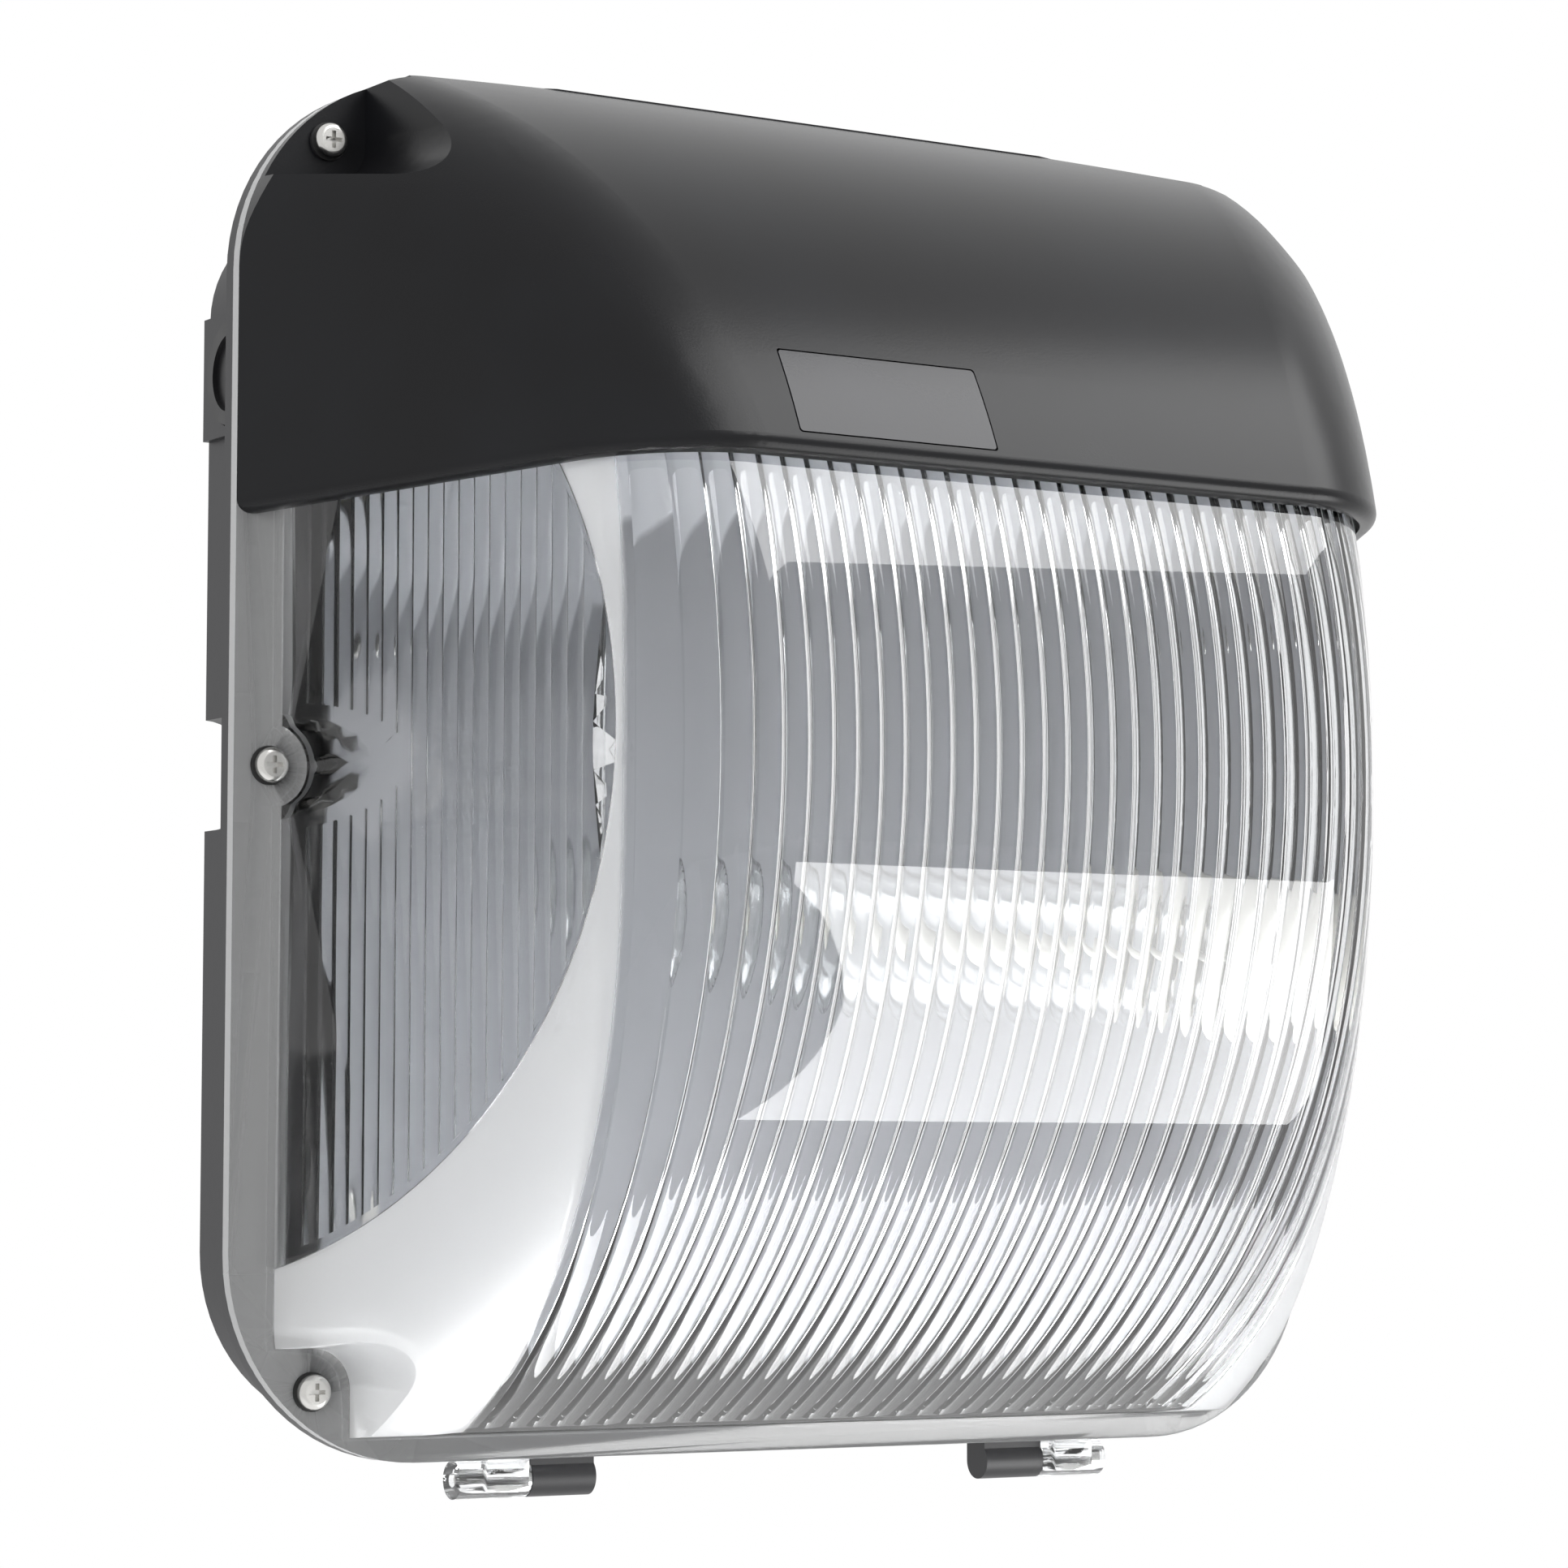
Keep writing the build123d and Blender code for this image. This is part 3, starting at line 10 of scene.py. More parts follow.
import bmesh
import bpy
import numpy as np
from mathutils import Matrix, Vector


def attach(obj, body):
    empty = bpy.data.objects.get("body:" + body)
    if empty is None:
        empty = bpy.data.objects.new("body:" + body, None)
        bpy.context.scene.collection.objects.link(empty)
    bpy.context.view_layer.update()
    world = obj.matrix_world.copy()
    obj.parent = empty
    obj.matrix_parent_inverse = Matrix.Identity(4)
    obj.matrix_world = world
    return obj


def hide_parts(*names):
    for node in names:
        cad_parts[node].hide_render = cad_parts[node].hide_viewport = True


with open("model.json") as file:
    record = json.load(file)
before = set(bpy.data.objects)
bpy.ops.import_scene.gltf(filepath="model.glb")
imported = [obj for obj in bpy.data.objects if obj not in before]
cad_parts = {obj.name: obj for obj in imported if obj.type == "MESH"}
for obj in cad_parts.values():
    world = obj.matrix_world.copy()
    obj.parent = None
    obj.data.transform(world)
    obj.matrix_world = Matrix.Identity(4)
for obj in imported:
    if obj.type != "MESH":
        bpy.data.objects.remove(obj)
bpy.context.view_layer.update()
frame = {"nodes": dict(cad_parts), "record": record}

MM = 0.001
nodes = frame["nodes"]

# %% [markdown]
# The camera comes first, because every later choice is judged through it. A long lens from
# the left, a little below the middle of the light, keeps the upright edges nearly parallel.
# Blender's camera takes its place in metres, its turn in radians and its lens in mm.

# %% Camera
CAMERA_PLACE = (-0.607014, -0.993337, -0.091332)
CAMERA_TURN = (radians(94.63), radians(-0.0897), radians(-32.1073))
camera_data = bpy.data.cameras.new("camera")
camera_data.lens = 109.137
camera_data.sensor_width = 36.0
camera_data.clip_start = 0.01
camera = bpy.data.objects.new("camera", camera_data)
camera.location = CAMERA_PLACE
camera.rotation_euler = CAMERA_TURN
bpy.context.scene.collection.objects.link(camera)
bpy.context.scene.camera = camera
bpy.context.scene.view_settings.view_transform = "Standard"
print("camera", round(Vector(CAMERA_PLACE).length, 3), "m from the middle of the rim")

# %% [markdown]
# Colours are noted as sRGB hex values, the way a paint or resin chart gives them. Shaders
# work in linear light, so one function converts them. A second small function adds any
# shader node with its settings and links, which keeps each material short to read.

# %% Colour and node helpers
def linear(code):
    """Linear RGBA from an sRGB hex code."""
    values = [int(code[i:i + 2], 16) / 255 for i in (1, 3, 5)]
    return [v / 12.92 if v <= 0.04045 else ((v + 0.055) / 1.055) ** 2.4 for v in values] + [1.0]


def add(tree, kind, settings=(), **inputs):
    """A shader node. Settings are its properties. Inputs are values, sockets or nodes, named
    as the node's sockets are with underscores for spaces, or i0, i1 and i2 by their place."""
    node = tree.nodes.new(kind)
    for key, value in dict(settings).items():
        setattr(node, key, value)
    for key, value in inputs.items():
        by_place = key[0] == "i" and key[1:].isdigit()
        socket = node.inputs[int(key[1:]) if by_place else key.replace("_", " ")]
        if isinstance(value, bpy.types.Node):
            value = value.outputs[0]
        if isinstance(value, bpy.types.NodeSocket):
            tree.links.new(value, socket)
        else:
            socket.default_value = value
    return node


def finish_material(name, **surface):
    """A material with one Principled surface, and the tree and shader to add to."""
    material = bpy.data.materials.new(name)
    material.use_nodes = True
    tree = material.node_tree
    tree.nodes.clear()
    shader = add(tree, "ShaderNodeBsdfPrincipled", **surface)
    add(tree, "ShaderNodeOutputMaterial", Surface=shader)
    return material, tree, shader


def per_mm(size):
    """Noise scale whose features are about size mm across."""
    return 1 / (size * MM)


TIMES = {"operation": "MULTIPLY"}
MINUS = {"operation": "SUBTRACT"}
TIMES_PLUS = {"operation": "MULTIPLY_ADD"}
print("mid grey #808080 is", round(linear("#808080")[0], 3), "in linear light")

# %% [markdown]
# The hood is a moulded, glass-filled nylon in charcoal. Its mould was spark eroded, which
# leaves a fine even grain. Real grain of this kind is a few tenths of a millimetre across,
# and it is drawn a little coarser here so that it shows. It breaks up the reflections, so
# the hood looks satin: nearly black in shade, grey where a lamp grazes it. The blank panel
# was moulded apart, a shade lighter and glossier, and a slow cloud of tone keeps both from
# looking painted.

# %% Grained charcoal plastic
GRAIN_MM, GRAIN_HEIGHT_MM = 0.55, 0.05
CLOUD_MM = 45.0


def grained_plastic(name, colour, lighter, roughness, bump, gloss):
    """Grained nylon that drifts from one colour to a lighter one."""
    material, tree, shader = finish_material(name, Roughness=roughness, IOR=1.5,
                                             Specular_IOR_Level=gloss)
    place = add(tree, "ShaderNodeTexCoord").outputs["Object"]
    grain = add(tree, "ShaderNodeTexNoise", Vector=place, Scale=per_mm(GRAIN_MM), Detail=3.0,
                Roughness=0.6)
    cloud = add(tree, "ShaderNodeTexNoise", Vector=place, Scale=per_mm(CLOUD_MM), Detail=2.0)
    ramp = add(tree, "ShaderNodeValToRGB", Fac=cloud)
    for stop, position, code in zip(ramp.color_ramp.elements, (0.35, 0.7), (colour, lighter)):
        stop.position = position
        stop.color = linear(code)
    tree.links.new(ramp.outputs["Color"], shader.inputs["Base Color"])
    height = add(tree, "ShaderNodeBump", Height=grain, Strength=bump,
                 Distance=GRAIN_HEIGHT_MM * MM)
    tree.links.new(height.outputs["Normal"], shader.inputs["Normal"])
    return material


hood_plastic = grained_plastic("spark_grained_nylon", "#131315", "#17181b", roughness=0.27,
                               bump=0.5, gloss=0.2)
panel_plastic = grained_plastic("spark_grained_nylon_panel", "#1c1c20", "#24252b",
                                roughness=0.26, bump=0.35, gloss=0.36)
print("made", hood_plastic.name, "and", panel_plastic.name, "with grain of", GRAIN_MM, "mm")

# %% [markdown]
# The housing behind it is die-cast aluminium under a dark polyester powder coat. The coat
# is baked, so it flows into a faint orange peel a few millimetres across, and its
# highlights are wide and soft.

# %% Powder-coated aluminium
PEEL_MM, PEEL_HEIGHT_MM = 2.5, 0.06


def powder_coat(name, colour, roughness):
    """A baked powder coat of one colour, with its orange peel."""
    material, tree, shader = finish_material(
        name, Base_Color=linear(colour), Roughness=roughness, IOR=1.5)
    place = add(tree, "ShaderNodeTexCoord").outputs["Object"]
    peel = add(tree, "ShaderNodeTexNoise", Vector=place, Scale=per_mm(PEEL_MM), Detail=2.0)
    height = add(tree, "ShaderNodeBump", Height=peel, Strength=0.4,
                 Distance=PEEL_HEIGHT_MM * MM)
    tree.links.new(height.outputs["Normal"], shader.inputs["Normal"])
    return material


housing_coat = powder_coat("powder_coated_aluminium", "#232326", 0.45)
print("made", housing_coat.name, "with a peel of", PEEL_MM, "mm")

# %% [markdown]
# The diffuser is injection-moulded clear polycarbonate. Its refractive index is 1.585, well
# above water-clear acrylic, which is why the flutes throw such strong light and dark lines.
#
# The fluted front is polished, and the ribbed side panels nearly so. The smooth border
# between them is matt from the mould, so it glows softly, and the flange has a light
# texture that hides the seal. One material does it all. Each area is a mask, the product of
# a few ramps that go from 0 to 1 between two places on the moulding, in real millimetres.

# %% Areas of the clear moulding
# All in mm. Depth is counted from the joint with the housing towards the front. A side
# panel ends at a circle, whose centre is given by its depth and height.
JOINT_Y = -31.0
FLUTED_HALF = 100.6
PANEL_RADIUS = 121.8
PANEL_DEPTH, PANEL_Z = -32.0, 3.0
PANEL_EDGE = 0.4
FLANGE_DEPTH = 3.0
# The hinge knuckles, below this height, stay clear.
HINGES_BELOW = (-158.5, -157.5)

clear_polycarbonate, tree, shader = finish_material(
    "clear_polycarbonate", Base_Color=linear("#fbfcfd"), IOR=1.585)
place = add(tree, "ShaderNodeSeparateXYZ",
            Vector=add(tree, "ShaderNodeTexCoord").outputs["Object"]).outputs
depth = add(tree, "ShaderNodeMath", MINUS, i0=JOINT_Y * MM, i1=place["Y"])
across = add(tree, "ShaderNodeMath", {"operation": "ABSOLUTE"}, i0=place["X"])
side_view = add(tree, "ShaderNodeCombineXYZ", X=depth, Y=place["Z"])
from_panel = add(tree, "ShaderNodeVectorMath", {"operation": "DISTANCE"}, i0=side_view,
                 i1=(PANEL_DEPTH * MM, PANEL_Z * MM, 0)).outputs["Value"]
ramp_ends = {
    "beside_flutes": (across, FLUTED_HALF, FLUTED_HALF + 1),
    "beyond_panel": (from_panel, PANEL_RADIUS, PANEL_RADIUS + PANEL_EDGE),
    "within_panel": (from_panel, PANEL_RADIUS + PANEL_EDGE, PANEL_RADIUS),
    "clear_of_flange": (depth, FLANGE_DEPTH, FLANGE_DEPTH + 0.5),
    "flange_thick": (depth, FLANGE_DEPTH + 0.2, FLANGE_DEPTH - 0.2),
    "above_hinges": (place["Z"], *HINGES_BELOW),
}
ramps = {}
for name, (value, low, high) in ramp_ends.items():
    ramps[name] = add(tree, "ShaderNodeMapRange", Value=value, From_Min=low * MM,
                      From_Max=high * MM)
masks = {}
for area, (first, *others) in {
    "panel": ("beside_flutes", "within_panel"),
    "flange": ("flange_thick", "above_hinges"),
    "matt": ("beside_flutes", "beyond_panel", "clear_of_flange"),
}.items():
    masks[area] = ramps[first]
    for other in others:
        masks[area] = add(tree, "ShaderNodeMath", TIMES, i0=masks[area], i1=ramps[other])
print("areas of the moulding", sorted(masks))

# %% Roughness and clearness of each area
POLISHED = 0.012
ROUGHER = {"panel": 0.09, "flange": 0.25, "matt": 0.4}
CLOUDIER = {"flange": 0.5, "matt": 0.5}
rough, clear = POLISHED, 1.0
for area, amount in ROUGHER.items():
    rough = add(tree, "ShaderNodeMath", TIMES_PLUS, i0=masks[area], i1=amount, i2=rough)
for area, amount in CLOUDIER.items():
    clear = add(tree, "ShaderNodeMath", TIMES_PLUS, i0=masks[area], i1=-amount, i2=clear)
tree.links.new(rough.outputs[0], shader.inputs["Roughness"])
tree.links.new(clear.outputs[0], shader.inputs["Transmission Weight"])
print("made", clear_polycarbonate.name, "with", len(tree.nodes), "nodes")

# %% [markdown]
# The flutes decide how the diffuser looks. Each is a long lens, rounded towards the lamp,
# with a sharp valley on either side. On a plain V groove, seen from the side as here, one
# whole face meets the light past polycarbonate's critical angle of 39 degrees and turns
# into a mirror. On a rounded flute only the steep edge does that, so each shows one narrow
# bright line. The CAD model has the flutes as V grooves, so the next cells round a copy of
# its mesh. First comes the dome's own formula: it says how far a point lies from the skin
# and which way the skin faces there. A formula is exact where a mesh has only facets.

# %% The dome as a formula
DOME_ARC, DOME_BACK = 169.0, 56.0
DOME_HALF_WIDTH, CORNER, WALL = 139.0, 35.0, 3.0
DRAFT = radians(23.1)
LINE = DOME_HALF_WIDTH * cos(DRAFT) + FLANGE_DEPTH * sin(DRAFT)
ARC_DEGREES, ARC_SAMPLES = 88, 353


def dome_skin(points, inset):
    """Distance outside the dome's skin, shrunk by inset, and its outward normal at each
    point. Points and normals are (across, depth, height) in mm, with across counted from 0
    at the middle. The rounded corner is a tube along an arc, given by the arc's samples."""
    angle = np.radians(np.linspace(-ARC_DEGREES, ARC_DEGREES, ARC_SAMPLES))
    reach = DOME_ARC - CORNER
    centre_depth = reach * np.cos(angle) - DOME_BACK
    centre_across = (LINE - CORNER - centre_depth * sin(DRAFT)) / cos(DRAFT)
    centres = np.stack([centre_across, centre_depth, reach * np.sin(angle)], 1)
    square = ((points[:, None, :] - centres[None]) ** 2).sum(2)
    nearest = square.argmin(1)
    radial = np.stack([0 * angle, np.cos(angle), np.sin(angle)], 1)[nearest]
    side = np.array([cos(DRAFT), sin(DRAFT), 0.0])
    tangent = np.cross(radial, side)
    tangent /= np.linalg.norm(tangent, axis=1)[:, None]
    offset = points - centres[nearest]
    offset -= (offset * tangent).sum(1)[:, None] * tangent
    along_side, along_radial = offset @ side, (offset * radial).sum(1)
    lean = radial @ side
    to_front = along_radial - lean * along_side
    to_side = along_side - lean * along_radial
    length = np.linalg.norm(offset, axis=1)
    distance = length - (CORNER - inset)
    normal = offset / length[:, None]
    flat_side = to_front < 0
    distance[flat_side] = (points @ side - (LINE - inset))[flat_side]
    normal[flat_side] = side
    front = to_side < 0
    from_axis = points + np.array([0, DOME_BACK, 0])
    from_axis[:, 0] = 0
    radius = np.linalg.norm(from_axis, axis=1)
    distance[front] = (radius - (DOME_ARC - inset))[front]
    normal[front] = (from_axis / radius[:, None])[front]
    return distance, normal


foremost = np.array([[0.0, DOME_ARC - DOME_BACK, 0.0]])
print("foremost point is", round(float(dome_skin(foremost, 0.0)[0][0]), 3), "mm off the skin")

# %% The flutes as a formula
FLUTE_COUNT, FLUTE_PITCH = 33, 6.1
FLUTE_EDGE = FLUTE_COUNT * FLUTE_PITCH / 2
GROOVE_HEIGHT = 1.2
LENS_SLOPE = radians(37.0)
LENS_RADIUS = FLUTE_PITCH / 2 / sin(LENS_SLOPE)


def from_crest(x):
    """Distance in mm from the nearest flute's crest."""
    return (np.asarray(x) + FLUTE_EDGE + FLUTE_PITCH / 2) % FLUTE_PITCH - FLUTE_PITCH / 2


def groove(x):
    """Height of the CAD model's V at x."""
    return GROOVE_HEIGHT * (1 - np.abs(from_crest(x)) / (FLUTE_PITCH / 2))


def lens(x):
    """Height of the rounded flute at x."""
    return np.sqrt(LENS_RADIUS ** 2 - from_crest(x) ** 2) - LENS_RADIUS * cos(LENS_SLOPE)


print("flute height: V", GROOVE_HEIGHT, "mm, lens", round(float(lens(FLUTE_EDGE)), 2), "mm")

# %% [markdown]
# The side panels carry a finer row of the same kind: upright ribs on the inside of the
# leaning wall, one every 3.95 mm of depth. Each is a lens too, rounded the same way.

# %% The side ribs as a formula
RIB_PITCH, RIB_START, RIB_HEIGHT, RIB_LAND = 3.95, 7.0, 0.5, 0.05
RIB_SLOPE = radians(30.0)
RIB_RADIUS = RIB_PITCH / 2 / sin(RIB_SLOPE)
LEAN = tan(DRAFT)
WALL_X = DOME_HALF_WIDTH - WALL / cos(DRAFT)


def from_rib(depth):
    """Distance in mm from the nearest rib's crest."""
    return (np.asarray(depth) - RIB_START + RIB_PITCH / 2) % RIB_PITCH - RIB_PITCH / 2


def rib_groove(depth):
    """How far the CAD model's V bites into the wall at a depth."""
    share = np.abs(from_rib(depth)) / (RIB_PITCH / 2)
    return np.maximum(0, (RIB_HEIGHT + RIB_LAND) * share - RIB_LAND)


def rib_lens(depth):
    """How far the rounded rib bites into the wall at a depth."""
    rise = np.sqrt(RIB_RADIUS ** 2 - from_rib(depth) ** 2) - RIB_RADIUS * cos(RIB_SLOPE)
    return RIB_HEIGHT - rise


def past_wall(points, bite):
    """How far points lie outside the ribbed wall, across the object."""
    depth = points[:, 1]
    return points[:, 0] - (WALL_X - LEAN * (depth - FLANGE_DEPTH) + bite(depth))


print("rib radius", round(RIB_RADIUS, 2), "mm, wall leans", round(LEAN, 3), "mm for each mm")

# %% [markdown]
# A CAD node's mesh is never changed, so the rounding is done on a copy, which then stands in
# for the diffuser. Each side of a V is one long flat strip. Subdividing the whole mesh
# would bring a great many faces, so only the strips are cut: bmesh's bisect_plane splits
# just the faces that it is given. Four narrow strips to each side follow the lens closely
# enough once their normals are exact.

# %% Find the strips on a copy of the moulding
# bmesh takes the weld distance in metres.
WELD = 1e-6
# In mm: how far a point may lie off the flutes, past their last edge, and their least depth.
FLUTE_FIT, FLUTE_SLACK, FLUTES_FROM = 0.3, 0.01, 8.0
# The least backward part of a flute face's normal.
FLUTE_FACES_BACK = 0.2
# How far in mm a rib's face may lie off the wall, and the most that its normal may tilt.
RIB_OFF_WALL, RIB_UPRIGHT = 0.12, 0.02
RIB_TO_WALL = (0.94, 0.985)


def skin_points(places):
    """Metres in the frame to (across, depth, height) in mm, and x in mm with its sign."""
    values = np.asarray(places, float).reshape(-1, 3) / MM
    return np.stack([np.abs(values[:, 0]), JOINT_Y - values[:, 1], values[:, 2]], 1), values[:, 0]


def on_grooves(places):
    """Which places lie on the V grooves of the fluted front."""
    points, x = skin_points(places)
    points[:, 1] += groove(x)
    near = np.abs(dome_skin(points, WALL)[0]) < FLUTE_FIT
    return near & (np.abs(x) < FLUTE_EDGE + FLUTE_SLACK) & (points[:, 1] > FLUTES_FROM)


def is_rib(normal, x, off):
    """Whether a face is one side of a rib's V. Such a face looks in towards the middle, is
    upright, and leans about 16 degrees from the wall, which RIB_TO_WALL gives as cosines."""
    to_wall = abs(normal.x) * cos(DRAFT) + normal.y * sin(DRAFT)
    looks_in = normal.x * x < 0 and abs(normal.z) < RIB_UPRIGHT
    return looks_in and abs(off) < RIB_OFF_WALL and RIB_TO_WALL[0] < to_wall < RIB_TO_WALL[1]


moulding_mesh = nodes["diffuser"].data.copy()
moulding_mesh.name = "diffuser_moulding"
moulding = bpy.data.objects.new("diffuser_moulding", moulding_mesh)
bpy.context.scene.collection.objects.link(moulding)
bm = bmesh.new()
bm.from_mesh(moulding_mesh)
bmesh.ops.remove_doubles(bm, verts=bm.verts, dist=WELD)
bm.faces.ensure_lookup_table()
middles = [list(face.calc_center_median()) for face in bm.faces]
middle_points, middle_x = skin_points(middles)
off_wall = past_wall(middle_points, rib_groove)
strips = {}
for face, fluted, depth, x, off in zip(bm.faces, on_grooves(middles), middle_points[:, 1],
                                       middle_x, off_wall):
    if fluted and face.normal.y > FLUTE_FACES_BACK:
        key = ("flute", int((x + FLUTE_EDGE) // (FLUTE_PITCH / 2)))
    elif is_rib(face.normal, x, off):
        key = ("rib", int((depth - RIB_START) // (RIB_PITCH / 2)), x > 0)
    else:
        continue
    strips.setdefault(key, []).append(face)
print("strips", len(strips), "of", len(bm.faces), "faces")

# %% Cut the strips and round them
STRIP_CUTS = 4
# In metres: a corner this near to a cutting plane counts as on it.
ON_PLANE = 1e-7


def cut_strip(faces, axis, places):
    """Cut one strip by planes square to an axis at places in metres, and give its faces."""
    strip = dict.fromkeys(faces)
    for place in places:
        pieces = dict.fromkeys(strip)
        for face in strip:
            pieces.update(dict.fromkeys([*face.edges, *face.verts]))
        result = bmesh.ops.bisect_plane(bm, geom=list(pieces), plane_co=axis * place,
                                        plane_no=axis, dist=ON_PLANE)
        cut = [item for item in result["geom"] if isinstance(item, bmesh.types.BMFace)]
        strip = dict.fromkeys(face for face in [*strip, *cut] if face.is_valid)
    return strip


rib_verts = {}
for (kind, half, *_), faces in strips.items():
    shares = [half + cut / STRIP_CUTS for cut in range(1, STRIP_CUTS)]
    if kind == "flute":
        places = [(share * FLUTE_PITCH / 2 - FLUTE_EDGE) * MM for share in shares]
        cut_strip(faces, Vector((1, 0, 0)), places)
    else:
        places = [(JOINT_Y - RIB_START - share * RIB_PITCH / 2) * MM for share in shares]
        for face in cut_strip(faces, Vector((0, 1, 0)), places):
            rib_verts.update(dict.fromkeys(face.verts))
for vertex in rib_verts:
    depth = JOINT_Y - vertex.co.y / MM
    shift = float(rib_lens(depth) - rib_groove(depth)) * MM
    vertex.co.x += shift if vertex.co.x > 0 else -shift
places = np.array([list(vertex.co) for vertex in bm.verts])
flute_moves = on_grooves(places)
for vertex, moves, x in zip(bm.verts, flute_moves, places[:, 0] / MM):
    if moves:
        vertex.co.y -= float(groove(x) - lens(x)) * MM
bm.to_mesh(moulding_mesh)
bm.free()
print("faces", len(moulding_mesh.polygons), "points moved on flutes", int(flute_moves.sum()),
      "and on ribs", len(rib_verts))

# %% [markdown]
# Clear plastic shows every facet, because each bends the light by its own amount. Blender
# lets a mesh carry normals that are set by hand, so the corners of each face get the
# direction that the formula gives. The mesh stays light, and it refracts like a smooth one.
# A face takes the first skin that it lies on and faces along. A corner in a valley takes
# the normal of its own face's lens, so the valleys stay sharp.

# %% Smooth the skin by the formula
# In mm: how far a corner may lie off the smooth skin or off a rib, and the ribs' least depth.
SKIN_FIT, RIB_FIT, RIBS_FROM = 0.15, 0.04, 5.0
# The least cosine between a face and the formula's normal, about 32 degrees apart.
SAME_WAY = 0.85
SHARP_ANGLE = radians(28)
moulding_mesh.shade_smooth()
moulding_mesh.set_sharp_from_angle(angle=SHARP_ANGLE)
points, x = skin_points([list(vertex.co) for vertex in moulding_mesh.vertices])
side = np.where(x < 0, -1.0, 1.0)
outer_distance, outer_normal = dome_skin(points, 0.0)
inner_distance, inner_normal = dome_skin(points, WALL)
under_flutes = points + np.outer(lens(x), [0, 1, 0])
fluted_distance, fluted_normal = dome_skin(under_flutes, WALL)
rib_distance = past_wall(points, rib_lens)


def unit(vectors):
    """The same directions, each with length 1."""
    return vectors / np.linalg.norm(vectors, axis=1)[:, None]


def flute_normals(ids):
    """Normals of a face on a flute: the dome's own, turned by the lens's slope."""
    middle = x[ids].mean()
    offset = x[ids] - (middle - float(from_crest(middle)))
    offset = np.clip(offset, -FLUTE_PITCH / 2, FLUTE_PITCH / 2)
    normal = -fluted_normal[ids]
    normal[:, 0] -= side[ids] * normal[:, 1] * offset / np.sqrt(LENS_RADIUS ** 2 - offset ** 2)
    return unit(normal)


def rib_normals(ids):
    """Normals of a face on a rib: the leaning wall's own, turned by the lens's slope."""
    middle = points[ids, 1].mean()
    offset = points[ids, 1] - (middle - float(from_rib(middle)))
    offset = np.clip(offset, -RIB_PITCH / 2, RIB_PITCH / 2)
    turn = offset / np.sqrt(RIB_RADIUS ** 2 - offset ** 2) - LEAN
    return unit(np.stack([0 * turn - 1, turn, 0 * turn], 1))


def skins_of(ids):
    """Each skin that a face's corners lie on, with its normals there."""
    if np.abs(outer_distance[ids]).max() < SKIN_FIT:
        yield "outer", outer_normal[ids]
    if np.abs(rib_distance[ids]).max() < RIB_FIT and points[ids, 1].min() > RIBS_FROM:
        yield "ribbed", rib_normals(ids)
    if np.abs(inner_distance[ids]).max() < SKIN_FIT:
        yield "inner", -inner_normal[ids]
    if np.abs(fluted_distance[ids]).max() < FLUTE_FIT and abs(x[ids].mean()) < FLUTE_EDGE:
        yield "fluted", flute_normals(ids)


loop_normals = [(0.0, 0.0, 0.0)] * len(moulding_mesh.loops)
counts = {"outer": 0, "inner": 0, "fluted": 0, "ribbed": 0}
for face in moulding_mesh.polygons:
    ids = list(face.vertices)
    for name, normal in skins_of(ids):
        in_frame = np.stack([normal[:, 0] * side[ids], -normal[:, 1], normal[:, 2]], 1)
        if (in_frame @ np.array(face.normal)).min() >= SAME_WAY:
            for loop, value in zip(face.loop_indices, in_frame):
                loop_normals[loop] = tuple(value)
            counts[name] += 1
            break
moulding_mesh.normals_split_custom_set(loop_normals)
print("faces given the formula's normals", counts)

# %% [markdown]
# The moulding swings with the cover and takes the place of the CAD diffuser, which stays
# hidden for the motion and its collisions.

# %% Put the moulding on the cover
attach(moulding, "cover")
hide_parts("diffuser")
moulding_mesh.materials.clear()
moulding_mesh.materials.append(clear_polycarbonate)
print(moulding.name, "has", moulding_mesh.materials[0].name)

# %% [markdown]
# The screws, the seals and all that is inside have plain workshop finishes. None is quite
# even: handling, plating and firing leave some patches a little glossier than others. One
# function gives each its colour and lets its roughness drift from place to place, a pattern
# some 8 mm across. A metal's colour is that of its reflections, and a glaze or a plastic
# has a clear gloss over its own colour.

# %% Finishes of the smaller pieces
DRIFT_MM = 8.0


def plain(name, colour, roughness, metallic=0.0, spread=0.06):
    """A finish whose roughness drifts a little from place to place, as on real parts."""
    material, tree, shader = finish_material(name, Base_Color=linear(colour),
                                             Metallic=metallic)
    place = add(tree, "ShaderNodeTexCoord").outputs["Object"]
    noise = add(tree, "ShaderNodeTexNoise", Vector=place, Scale=per_mm(DRIFT_MM), Detail=3.0)
    drift = add(tree, "ShaderNodeMapRange", Value=noise, From_Min=0.3, From_Max=0.7,
                To_Min=roughness - spread, To_Max=roughness + spread)
    tree.links.new(drift.outputs["Result"], shader.inputs["Roughness"])
    return material


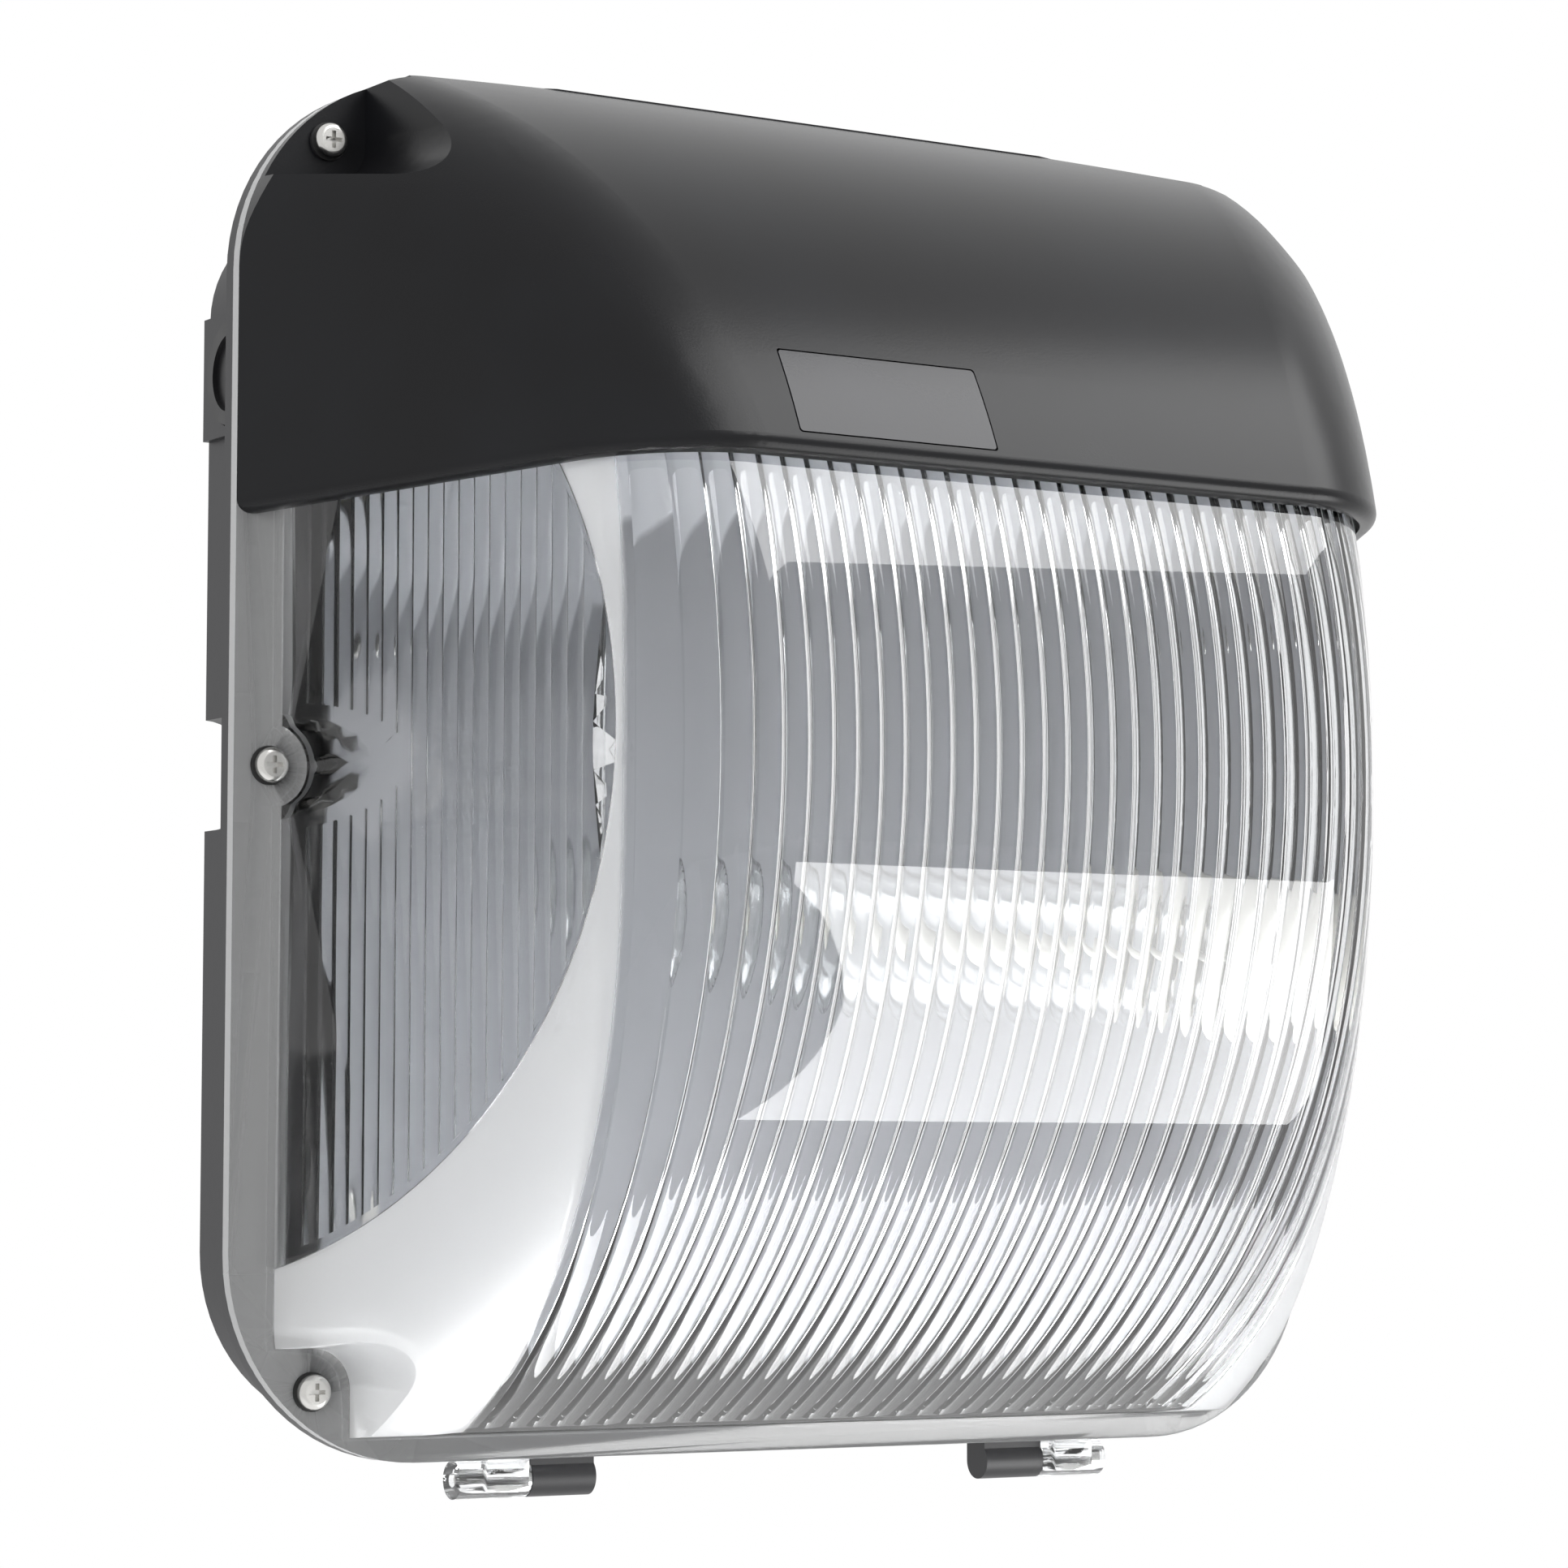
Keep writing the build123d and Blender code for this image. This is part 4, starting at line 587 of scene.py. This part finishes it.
finishes = {
    "coated_housing": housing_coat,
    "hood_moulding": hood_plastic,
    "clear_polycarbonate": clear_polycarbonate,
    # Moulded seals and grommet: dull, with hardly a highlight.
    "black_rubber": plain("epdm_rubber", "#1b1b1c", 0.7),
    # Moulded conduit plugs: a soft satin sheen.
    "black_nylon": plain("black_nylon", "#161618", 0.38),
    # Screws with rolled threads, and turned pins: bright and clean.
    "stainless_steel": plain("stainless_steel", "#c9c8c5", 0.22, metallic=1.0),
    # Turned inserts and earth terminal: yellow and bright.
    "brass": plain("turned_brass", "#d6b56a", 0.25, metallic=1.0),
    # Electroplated sheet steel: bluish and a little cloudy.
    "zinc_plated_sheet": plain("zinc_plated_steel", "#c3c6ca", 0.34, metallic=1.0),
    # Sprayed and stoved white enamel with some gloss. Its even pale grey, darker than the enamel,
    # is painted shade for the inside of the cover.
    "white_enamelled_sheet": plain("white_enamel_greyed_as_shade", "#9c9ea3", 0.32, spread=0.03),
    # Moulded polycarbonate: white and smooth.
    "gear_case_plastic": plain("white_polycarbonate_case", "#e2e2de", 0.35),
    # Deep-drawn aluminium: pale and satin.
    "ignitor_can": plain("drawn_aluminium", "#d3d4d6", 0.3, metallic=1.0),
    # Moulded polyamide: cream and nearly matt.
    "terminal_plastic": plain("cream_polyamide", "#d9d6c8", 0.45),
    # Fired glaze: warm white with sharp highlights.
    "glazed_porcelain": plain("glazed_porcelain", "#ebe9e2", 0.12, spread=0.03),
    # Blown hard glass: clear, seen only by its edges and reflections.
    "clear_glass": finish_material("hard_glass", Base_Color=linear("#fcfdfd"), Roughness=0.0,
                                   IOR=1.48, Transmission_Weight=1.0)[0],
    # Nickel plate over spun brass: warm and mirror bright.
    "lamp_cap_metal": plain("nickel_plated_brass", "#cfc8b8", 0.2, metallic=1.0),
    # Sintered alumina: milky and matt.
    "arc_tube_ceramic": plain("sintered_alumina", "#efece4", 0.5),
}
for part in frame["record"]["subparts"]:
    node = nodes[part["node"]]
    node.data.materials.clear()
    node.data.materials.append(finishes[part["material_slot"]])
nodes["hood_blank_panel"].data.materials[0] = panel_plastic

# %% [markdown]
# The studio is plain: a pale floor far below and a white world. Light Path lets the camera,
# the gloss and the glass see both as white, while the light that falls on the object stays
# at the level that renders each colour about as it is written.

# %% World
LIGHT_LEVEL = 0.5


def seen_directly(tree):
    """1 for rays that show the surroundings to the eye, 0 for light on its way to a surface."""
    path = add(tree, "ShaderNodeLightPath").outputs
    seen = path["Is Camera Ray"]
    for kind in ("Is Glossy Ray", "Is Transmission Ray"):
        seen = add(tree, "ShaderNodeMath", {"operation": "MAXIMUM"}, i0=seen, i1=path[kind])
    before_matt = add(tree, "ShaderNodeMath", {"operation": "LESS_THAN"},
                      i0=path["Diffuse Depth"], i1=0.5)
    return add(tree, "ShaderNodeMath", TIMES, i0=seen, i1=before_matt)


world = bpy.data.worlds.new("studio")
bpy.context.scene.world = world
world.use_nodes = True
sky = world.node_tree
sky.nodes.clear()
strength = add(sky, "ShaderNodeMapRange", Value=seen_directly(sky), To_Min=LIGHT_LEVEL,
               To_Max=1.0)
backdrop = add(sky, "ShaderNodeBackground", Color=(1, 1, 1, 1), Strength=strength)
add(sky, "ShaderNodeOutputWorld", Surface=backdrop)
print("world light", LIGHT_LEVEL, "shown as 1.0")

# %% Floor
FLOOR_Z, FLOOR_HALF = -1.05, 6.0
corners = [(sx * FLOOR_HALF, sy * FLOOR_HALF, FLOOR_Z)
           for sx, sy in ((-1, -1), (1, -1), (1, 1), (-1, 1))]
floor_mesh = bpy.data.meshes.new("floor")
floor_mesh.from_pydata(corners, [], [(0, 1, 2, 3)])
floor = bpy.data.objects.new("floor", floor_mesh)
bpy.context.scene.collection.objects.link(floor)
floor_material, tree, shader = finish_material(
    "matt_white_paper", Base_Color=linear("#f4f4f4"), Roughness=0.9,
    Emission_Color=(1, 1, 1, 1))
glow = add(tree, "ShaderNodeMath", TIMES, i0=seen_directly(tree), i1=1 - LIGHT_LEVEL)
tree.links.new(glow.outputs[0], shader.inputs["Emission Strength"])
floor_mesh.materials.append(floor_material)
print("floor", 2 * FLOOR_HALF, "m wide,", -FLOOR_Z, "m below the light's middle")

# %% [markdown]
# Soft boxes do the rest, as on a product photographer's table. The key is a large one high
# on the right, which rakes over the hood. A low card on the right is there only to be
# mirrored in glossy faces, and a wide fill on the left only gives light to colours, with no
# reflection of its own. A fourth lies under the light and shines only through the clear
# cover, where it brightens the inside. Cycles lets each lamp be left out of diffuse, glossy
# or transmitted light, so a lamp can serve one purpose and spoil no other.

# %% Lamps
EVERYTHING = ("diffuse", "glossy", "transmission")


def lamp(name, place, target, size, radiance, reaches=EVERYTHING):
    """A rectangular soft lamp of an even radiance that faces its target."""
    data = bpy.data.lights.new(name, "AREA")
    data.shape = "RECTANGLE"
    data.size, data.size_y = size
    data.energy = radiance * pi * size[0] * size[1]
    lamp_object = bpy.data.objects.new(name, data)
    bpy.context.scene.collection.objects.link(lamp_object)
    lamp_object.location = place
    direction = Vector(target) - Vector(place)
    lamp_object.rotation_euler = direction.to_track_quat("-Z", "Y").to_euler()
    for kind in EVERYTHING:
        setattr(lamp_object, "visible_" + kind, kind in reaches)
    print("lamp", name, round(data.energy, 1), "W")
    return lamp_object


def card_lamp(name, low_left, low_right, top_left, radiance, reaches=EVERYTHING):
    """A soft box given by three of its corners. It faces the light."""
    low_left = Vector(low_left)
    along = Vector(low_right) - low_left
    upright = Vector(top_left) - low_left
    place = low_left + (along + upright) / 2
    facing = along.cross(upright)
    if facing.dot(place) > 0:
        facing = -facing
    size = (along.length, upright.length)
    lamp_object = lamp(name, place, place + facing, size, radiance, reaches)
    across = lamp_object.rotation_euler.to_matrix() @ Vector((1, 0, 0))
    turn = across.angle(along)
    if across.cross(along).dot(facing) > 0:
        turn = -turn
    lamp_object.rotation_euler.rotate_axis("Z", turn)


card_lamp("key", (0.294, -1.405, 0.693), (1.79, -0.64, 0.931), (-0.03, -0.97, 1.356),
          radiance=4.8)
card_lamp("low_card", (0.606, -0.734, -1.005), (1.906, -0.734, -1.005),
          (0.606, -1.21, -0.285), radiance=7.0, reaches=("glossy",))
lamp("table_bounce", (0, -0.2, -0.95), (0, -0.2, 0), (1.2, 0.6), radiance=22.0,
     reaches=("transmission",))
FILL_DISTANCE, FILL_AZIMUTH, FILL_ELEVATION = 1.7, radians(-50), radians(10)
fill_level = FILL_DISTANCE * cos(FILL_ELEVATION)
lamp("left_fill", (fill_level * sin(FILL_AZIMUTH), -fill_level * cos(FILL_AZIMUTH),
                   FILL_DISTANCE * sin(FILL_ELEVATION)),
     (0, 0, 0), (1.2, 1.2), radiance=2.4, reaches=("diffuse",))
